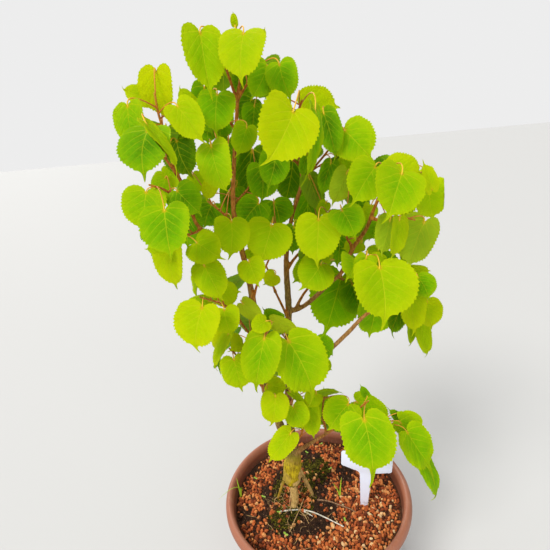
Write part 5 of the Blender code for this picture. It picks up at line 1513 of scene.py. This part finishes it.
def twigFinish():
    look = Finish("youngTwig", 0.6, 0.18)
    place = look.place()
    grain = place.speckle(520)
    base = grain.ease(0.35, 0.7).blend(leafLook["twig"], leafLook["twigPale"])
    base = look.own("run").ease(0.5, 1.0, 0.0, 0.5).blend(base, leafLook["twigEnd"])
    base = place.cells(560).ease(0.12, 0.24, 0.6, 0.0).blend(base, leafLook["twigPores"])
    return look.done(base, grain, 0.0003)


def pointAlong(points, run):
    for a, b in zip(points, points[1:]):
        span = (b - a).length
        if run <= span:
            return a + (b - a) * (run / span)
        run -= span
    return points[-1]


def bladeAxes(notch, tip, spin):
    along = (tip - notch).normalized()
    flat = Vector((0, 0, 1)).cross(along).normalized()
    rise = along.cross(flat)
    across = flat * math.cos(spin) + rise * math.sin(spin)
    return along, across, along.cross(across)


def stalkPath(root, notch, along, facing, arch, length):
    reach = (notch - root).length
    away = (notch - root).normalized()
    first = root + (away + Vector((0, 0, arch))).normalized() * reach * 0.4
    second = notch - along * reach * 0.3 + Vector((0, 0, 1)) * reach * arch * 0.3
    points = []
    radii = []
    steps = bladeForm["stalkSteps"]
    for step in range(steps + 1):
        t = step / steps
        s = 1 - t
        points.append(root * s ** 3 + first * 3 * t * s * s + second * 3 * t * t * s + notch * t ** 3)
        foot = bladeForm["footSwell"] * math.exp(-(t / 0.10) ** 2)
        head = bladeForm["headSwell"] * math.exp(-(s / 0.08) ** 2)
        radii.append(bladeForm["stalkRadius"] * (0.85 + foot + head))
    # it runs out under the blade's joint
    for share, size in ((0.03, 0.7), (0.07, 0.4)):
        points.append(notch + along * length * share - facing * (bladeForm["thick"] * (1 + share * 15)))
        radii.append(bladeForm["stalkRadius"] * size)
    return points, radii


def keepInBox(piece):
    # no tip stands out of the model's own box
    places = np.empty(len(piece.data.vertices) * 3, dtype=np.float32)
    piece.data.vertices.foreach_get("co", places)
    low, high = (np.array(corner, dtype=np.float32) for corner in cadBox)
    places = np.clip(places.reshape(-1, 3), low, high)
    piece.data.vertices.foreach_set("co", places.ravel())
    piece.data.update()


def makeShoots():
    patterns = bpy.data.collections.new("bladePatterns")
    for number in range(bladeForm["patterns"]):
        patterns.objects.link(bladePattern(number))
    tree = shootTree()
    shared = {name: bladeForm[name.lower()] for name in bladeInputs}
    shared |= {"Blades": patterns, "Stalk Sides": bladeForm["stalkSides"], "Twig Sides": bladeForm["twigSides"],
               "Leaf Finish": leafFinish(), "Stalk Finish": stalkFinish(), "Twig Finish": twigFinish()}
    kinds = {"tone": "FLOAT", "seed": "FLOAT", "kind": "INT"}
    draw = random.Random(7)
    for name, rows in leaves.items():
        near, far = twigParts(name)
        outward = (near[-1] - near[-2]).normalized()
        end = far[-1] + (far[-1] - far[-2]).normalized() * twigForm["end"]
        route = [near[-1] - outward * 0.002] + far + [end]
        radii = [twigForm["radius"] * (1.1 - 0.5 * number / (len(route) - 1)) for number in range(len(route))]
        points, radii = smoothPath(route, radii, 6)
        radii[-4:] = [0.0007, 0.0009, 0.0006, 0.00015]     # the bud
        bearing = [far[0] + outward * soilForm["gap"]] + far[1:] + [end]
        fields = {field: [] for field in ("notch", "along", "across", "facing", "size", "tone", "seed", "kind")}
        stalks = []
        for notch, tip, spin, breadth, run, tone, *own in rows:
            notch = Vector(notch) * mm
            tip = Vector(tip) * mm
            arch, drip = own + [bladeForm["stalkArch"], bladeForm["drip"]][len(own):]
            along, across, facing = bladeAxes(notch, tip, math.radians(spin))
            length = (tip - notch).length
            stalks.append(stalkPath(pointAlong(bearing, run * mm), notch, along, facing, arch, length))
            row = (notch, along, across, facing, (length, breadth * mm, drip), tone, draw.uniform(0, 40),
                   draw.randrange(bladeForm["patterns"]))
            for field, value in zip(fields, row):
                fields[field].append(value if field in kinds else tuple(value))
        node = "shoot_" + name
        mesh = newMesh(node + "_leaves", fields["notch"], [])
        for field, values in fields.items():
            setPoints(mesh, field, values, kinds.get(field, "FLOAT_VECTOR"))
        curves = {"Stalk": strands("stalkCurves", stalks), "Twig": strands("twigCurve", [(points, radii)])}
        piece = madeByTree(newObject(node + "_points", mesh), tree, node + "_leaves", {**shared, **curves})
        for curve in curves.values():
            bpy.data.objects.remove(curve)
        keepInBox(piece)
        keepAttributes(piece, "plan", "tone", "seed", "rim", "run")
        finishPiece(piece, "leaf", node)
    dropCollection(patterns)
    print("shoots made with", sum(len(rows) for rows in leaves.values()), "leaves")


makeShoots()


# Things on the soil
labelForm = {
    "foot": (364, 505), "head": (0.060, 0.030), "shoulder": 0.004, "stem": (0.014, 0.009), "above": 0.0640,
    "below": 0.030, "thick": 0.0012, "corner": 0.004, "lean": math.radians(8), "roll": math.radians(3.5),
    "yaw": math.radians(-16), "fillet": 0.007, "steps": 8, "edge": 0.0003, "colour": (0.80, 0.85, 1.0),
}


def labelOutline():
    headWidth, headHeight = labelForm["head"]
    stemTop, stemLow = labelForm["stem"]
    above = labelForm["above"]
    corner = labelForm["corner"]
    fillet = labelForm["fillet"]
    steps = labelForm["steps"]
    points = [(0, -labelForm["below"]), (stemLow / 2, -labelForm["below"] + 0.008), (stemLow / 2, 0)]
    for step in range(steps + 1):
        angle = math.radians(180 - 90 * step / steps)
        points.append((stemTop / 2 + fillet * (1 + math.cos(angle)), above - fillet * (1 - math.sin(angle))))
    corners = [(headWidth / 2, above + labelForm["shoulder"], -90), (headWidth / 2, above + headHeight, 0)]
    for x, z, start in corners:
        inset = corner if start == -90 else -corner
        for step in range(steps + 1):
            angle = math.radians(start + 90 * step / steps)
            points.append((x - corner + corner * math.cos(angle), z + inset + corner * math.sin(angle)))
    return points + [(-x, z) for x, z in reversed(points[1:])]


def labelPlace():
    foot = seenOnLevel(*labelForm["foot"], soilForm["level"])
    turn = Matrix.Rotation(labelForm["yaw"], 4, "Z") @ Matrix.Rotation(labelForm["roll"], 4, "Y")
    return Matrix.Translation(foot) @ turn @ Matrix.Rotation(labelForm["lean"], 4, "X")


def labelFinish():
    look = Finish("labelPlastic", 0.32, 0.5)
    place = look.place()
    cloud = place.speckle(45, 4)
    base = cloud.ease(0.4, 0.8, 0.0, 0.25).blend(labelForm["colour"], (0.66, 0.68, 0.72))
    dirt = place.parts()[2].ease(0.109, 0.122, 0.6, 0.0) * place.speckle(380, 4).ease(0.4, 0.65)
    base = dirt.blend(base, (0.22, 0.12, 0.07))
    base = place.speckle(700, 2).ease(0.70, 0.76, 0.0, 0.3).blend(base, (0.35, 0.25, 0.18))
    put(look.shader.inputs["Roughness"], cloud.ease(0.3, 0.8, 0.28, 0.45))
    return look.done(base, place.stretched(1500, 1500, 200).speckle(1.0, 2), 0.00003)


def prismFaces(count):
    # both ends and the sides between two outlines of this many points
    ends = [list(range(count)), [count + step for step in range(count)][::-1]]
    return ends + [between(0, count, count, step, True) for step in range(count)]


def makeLabel():
    outline = labelOutline()
    place = labelPlace()
    half = labelForm["thick"] / 2
    verts = [place @ Vector((x, side * half, z)) for side in (-1, 1) for x, z in outline]
    rough = meshObject("labelPlate", verts, prismFaces(len(outline)))
    edge = rough.modifiers.new("edge", "BEVEL")
    edge.width = labelForm["edge"]
    edge.segments = 3
    edge.limit_method = "ANGLE"
    edge.angle_limit = math.radians(60)
    label = settled(rough, "label_plate")
    smoothShaded(label, labelFinish(), 30)
    return finishPiece(label, "label_plastic", "plant_label")


litterForm = {
    "dryStalk": [(279.5, 513), (289, 511.5), (300, 511), (308, 512), (316, 514.5), (326, 519),
                 (336, 524), (344, 528)],
    "dryStalkSide": [(302, 511.5), (307, 514), (313, 517.5)],
    "dryStalkRadius": 0.0010,
    "fallenTwig": [(317, 501), (324, 501.5), (331, 503), (338, 505.5), (345, 508), (351, 510.5), (356, 513)],
    "fallenTwigRadius": 0.0009,
    "lie": 0.0010,        # how far the granules' tops stand over the soil's level
    # fine roots: u, v and height in mm over the level
    "rootlets": [[(304, 498, 4), (301, 506, 5.5), (297, 515, 4.5), (293, 524, 3.2), (290, 532, 1)],
                 [(291, 493, 6), (290, 502, 4.5), (290.5, 508, 4), (292, 514, 2)],
                 [(282, 496, 4.5), (277, 497.5, 5), (274.5, 500, 4), (275, 503, 1)],
                 [(287, 482, 6), (281, 484, 5.5), (283, 487, 4.5), (288, 486, 3)],
                 [(296, 503, 3), (299, 510, 2.4), (305, 516, 2), (309, 524, 1)]],
    "rootletRadius": 0.0007,
    "joints": 9,          # a joint at every ninth point of a strand
    "jointSwell": 0.22, "endShare": 0.35, "uneven": 0.07,
    "fibres": 46, "fibreLength": (0.007, 0.020), "fibreRadius": (0.00018, 0.00035),
    "fibreSpread": [(-0.005, 0.024), (-0.004, 0.022)],
    "seedlings": [(307, 454), (264, 498), (279, 514), (345, 521), (321, 445), (286, 536),
                  (256, 480), (330, 470)],
}


def woodFinish(name, light, dark):
    look = Finish(name, 0.8, 0.3)
    grain = look.place().speckle(480, 4, 0.65)
    return look.done(grain.ease(0.35, 0.65).blend(dark, light), grain, 0.0003)


def laid(route, radius):
    return [seenOnLevel(u, v, soilForm["level"]) + Vector((0, 0, litterForm["lie"] + radius)) for u, v in route]


def knobbly(points, radius, seed, taper=0.35):
    # a strand's radius, with joints along it
    draw = random.Random(seed)
    path, _ = smoothPath(points, [radius] * len(points), 6)
    count = len(path)
    radii = []
    for number in range(count):
        joint = litterForm["jointSwell"] if number % litterForm["joints"] == 4 else 0.0
        end = litterForm["endShare"] if number in (0, count - 1) else 1.0
        thick = radius * end * (1 - taper * number / (count - 1))
        radii.append(thick * (1 + joint + draw.uniform(-litterForm["uneven"], litterForm["uneven"])))
    return path, radii


def makeLitter():
    bleached = woodFinish("bleachedStalk", (0.70, 0.67, 0.58), (0.42, 0.38, 0.30))
    dead = woodFinish("deadTwig", (0.33, 0.19, 0.10), (0.14, 0.07, 0.035))
    rooty = woodFinish("fineRoots", (0.58, 0.38, 0.16), (0.26, 0.14, 0.05))
    thick = litterForm["dryStalkRadius"]
    main = knobbly(laid(litterForm["dryStalk"], thick), thick, 1, 0.3)
    side = knobbly(laid(litterForm["dryStalkSide"], thick * 0.8), thick * 0.75, 2)
    makeStrand("dry_stalk_laid", [main, side], 10, 1.0, bleached, "dry_stem", "dry_stalk")
    thin = litterForm["fallenTwigRadius"]
    fallen = knobbly(laid(litterForm["fallenTwig"], thin), thin, 3)
    makeStrand("fallen_twig_laid", [fallen], 9, 1.0, dead, "dead_twig", "fallen_twig")
    paths = [knobbly(seenRoute(root, soilForm["level"]), litterForm["rootletRadius"], 10 + number, 0.45)
             for number, root in enumerate(litterForm["rootlets"])]
    draw = random.Random(21)
    for _ in range(litterForm["fibres"]):
        spot = soilFoot + Vector([draw.gauss(*spread) for spread in litterForm["fibreSpread"]] + [0])
        heading = draw.uniform(0, 2 * math.pi)
        step = draw.uniform(*litterForm["fibreLength"]) / 4
        points = []
        for number in range(5):
            lift = 0.0012 + 0.0016 * math.sin(math.pi * number / 4) * draw.random()
            points.append(Vector((spot.x, spot.y, soilHeight(spot.x, spot.y) + soilForm["sunk"] * 0.6 + lift)))
            heading += draw.uniform(-0.6, 0.6)
            spot = spot + Vector((math.cos(heading), math.sin(heading), 0)) * step
        paths.append(knobbly(points, draw.uniform(*litterForm["fibreRadius"]), draw.randrange(999), 0.5))
    makeStrand("fine_roots", paths, 6, 1.0, rooty, "bark")


grassForm = {
    "left": [[(241, 496, 0), (239, 488, 12), (236.5, 478, 24)],
             [(241, 496, 0), (241.5, 491, 8), (242, 487, 14)],
             [(241, 496, 0), (239.5, 488, 17), (231, 489, 28), (219, 499, 22)]],
    "right": [[(340, 495, 0), (340.5, 486, 14), (341.5, 477, 27)],
              [(339.5, 495, 0), (337, 489, 9), (333, 483, 17)]],
    "width": 0.0026, "flatness": 0.45, "buried": 0.006, "tip": 0.00012,
}


def grassFinish():
    look = Finish("freshGrass", 0.45, 0.35)
    base = look.own("run").ramp([(0.0, (0.50, 0.46, 0.10)), (0.25, (0.33, 0.50, 0.03)),
                                 (0.85, (0.30, 0.52, 0.01)), (1.0, (0.52, 0.50, 0.05))])
    lines = look.place().stretched(2600, 2600, 60).speckle(1.0, 2)
    return look.done(lines.ease(0.4, 0.65, 0.0, 0.25).blend(base, (0.42, 0.55, 0.10)), lines, 0.0001)


def makeGrass():
    green = grassFinish()
    for side in ("left", "right"):
        paths = []
        for route in grassForm[side]:
            points = seenRoute(route, soilForm["level"])
            points = [points[0] - Vector((0, 0, grassForm["buried"]))] + points
            points, _ = smoothPath(points, [0.0] * len(points), 7)
            last = len(points) - 1
            shares = [1 - (number / last) ** 2.2 for number in range(last + 1)]
            paths.append((points, [grassForm["width"] / 2 * share + grassForm["tip"] for share in shares]))
        node = "grass_" + side
        makeStrand(node + "_blades", paths, 10, grassForm["flatness"], green, "grass", node)


seedlingForm = {
    "height": (0.002, 0.0035), "buried": 0.002, "stemRadius": 0.0002, "leafSize": (0.0013, 0.0020),
    "leafPoints": 10, "leafHalf": 0.00015,
}


def seedlingShape(spot, seed):
    # a short stem with two round seed leaves
    draw = random.Random(seed)
    top = spot + Vector((0, 0, draw.uniform(*seedlingForm["height"])))
    foot = spot - Vector((0, 0, seedlingForm["buried"]))
    verts, faces = tube([foot, top], [seedlingForm["stemRadius"], seedlingForm["stemRadius"] * 0.9], 5)
    heading = draw.uniform(0, math.pi)
    count = seedlingForm["leafPoints"]
    thick = Vector((0, 0, seedlingForm["leafHalf"]))
    for turn in (0, math.pi):
        out = onCircle(1, heading + turn, 0.25)
        side = Vector((-out.y, out.x, 0))
        size = draw.uniform(*seedlingForm["leafSize"])
        ring = []
        for step in range(count):
            angle = 2 * math.pi * step / count
            ring.append(top + out * size * (0.9 - math.cos(angle)) + side * size * 0.7 * math.sin(angle))
        blade = [point + thick for point in ring] + [point - thick for point in ring]
        addShape(verts, faces, (blade, prismFaces(count)))
    return verts, faces


def makeSeedlings():
    verts = []
    faces = []
    for number, (u, v) in enumerate(litterForm["seedlings"]):
        spot = seenOnLevel(u, v, soilForm["level"] + 0.001)
        addShape(verts, faces, seedlingShape(spot, number))
    piece = meshObject("soil_seedlings", verts, faces)
    bm = bmesh.new()
    bm.from_mesh(piece.data)
    bmesh.ops.recalc_face_normals(bm, faces=bm.faces)
    bm.to_mesh(piece.data)
    bm.free()
    look = Finish("seedLeaves", 0.5, 0.3)
    green = look.place().speckle(300, 2).blend((0.16, 0.34, 0.03), (0.34, 0.46, 0.05))
    piece.data.materials.append(look.done(green))
    return finishPiece(piece, "grass")


makeLabel()
makeLitter()
makeGrass()
makeSeedlings()
print("things on the soil made")


# Floor and light
studio = {
    "floorSize": 60.0, "floorColour": (0.54, 0.54, 0.535), "skyColour": (0.80, 0.80, 0.80), "skySeen": 1.06,
    "skyLight": 0.72,
    "suns": [  # direction it comes from, strength, width in degrees, colour
        ("keyLight", (-0.55, -0.62, 0.80), 2.45, 24, (1.0, 0.985, 0.95)),
        ("fillLight", (0.30, -0.90, 0.30), 0.75, 50, (1.0, 1.0, 0.98)),
        ("backLight", (-0.45, 0.75, 0.70), 1.5, 30, (1.0, 0.99, 0.96)),
    ],
}


def makeStudio():
    half = studio["floorSize"] / 2
    corners = [(-half, -half, 0), (half, -half, 0), (half, half, 0), (-half, half, 0)]
    floor = meshObject("studioFloor", corners, [[0, 1, 2, 3]])
    floor.data.materials.append(Finish("paleFloor", 0.7, 0.2).done((*studio["floorColour"], 1)))
    for name, origin, strength, width, colour in studio["suns"]:
        light = bpy.data.lights.new(name, "SUN")
        light.angle = math.radians(width)
        light.energy = strength
        light.color = colour
        lamp = newObject(name, light)
        lamp.location = Vector(origin) * 2
        lamp.rotation_euler = (-Vector(origin)).to_track_quat("-Z", "Y").to_euler()
    world = bpy.data.worlds.new("studioAir")
    world.use_nodes = True
    tree = world.node_tree
    sky = (*studio["skyColour"], 1)
    lit = tree.nodes["Background"]
    put(lit.inputs["Color"], sky)
    put(lit.inputs["Strength"], studio["skyLight"])
    bright = made(tree, "ShaderNodeBackground", {"Color": sky, "Strength": studio["skySeen"]})
    path = made(tree, "ShaderNodeLightPath", output="Is Camera Ray")
    mixed = made(tree, "ShaderNodeMixShader", {0: path, 1: Field(lit.outputs[0]), 2: bright})
    put(tree.nodes["World Output"].inputs["Surface"], mixed)
    bpy.context.scene.world = world
    bpy.context.scene.view_settings.view_transform = "Standard"


makeStudio()
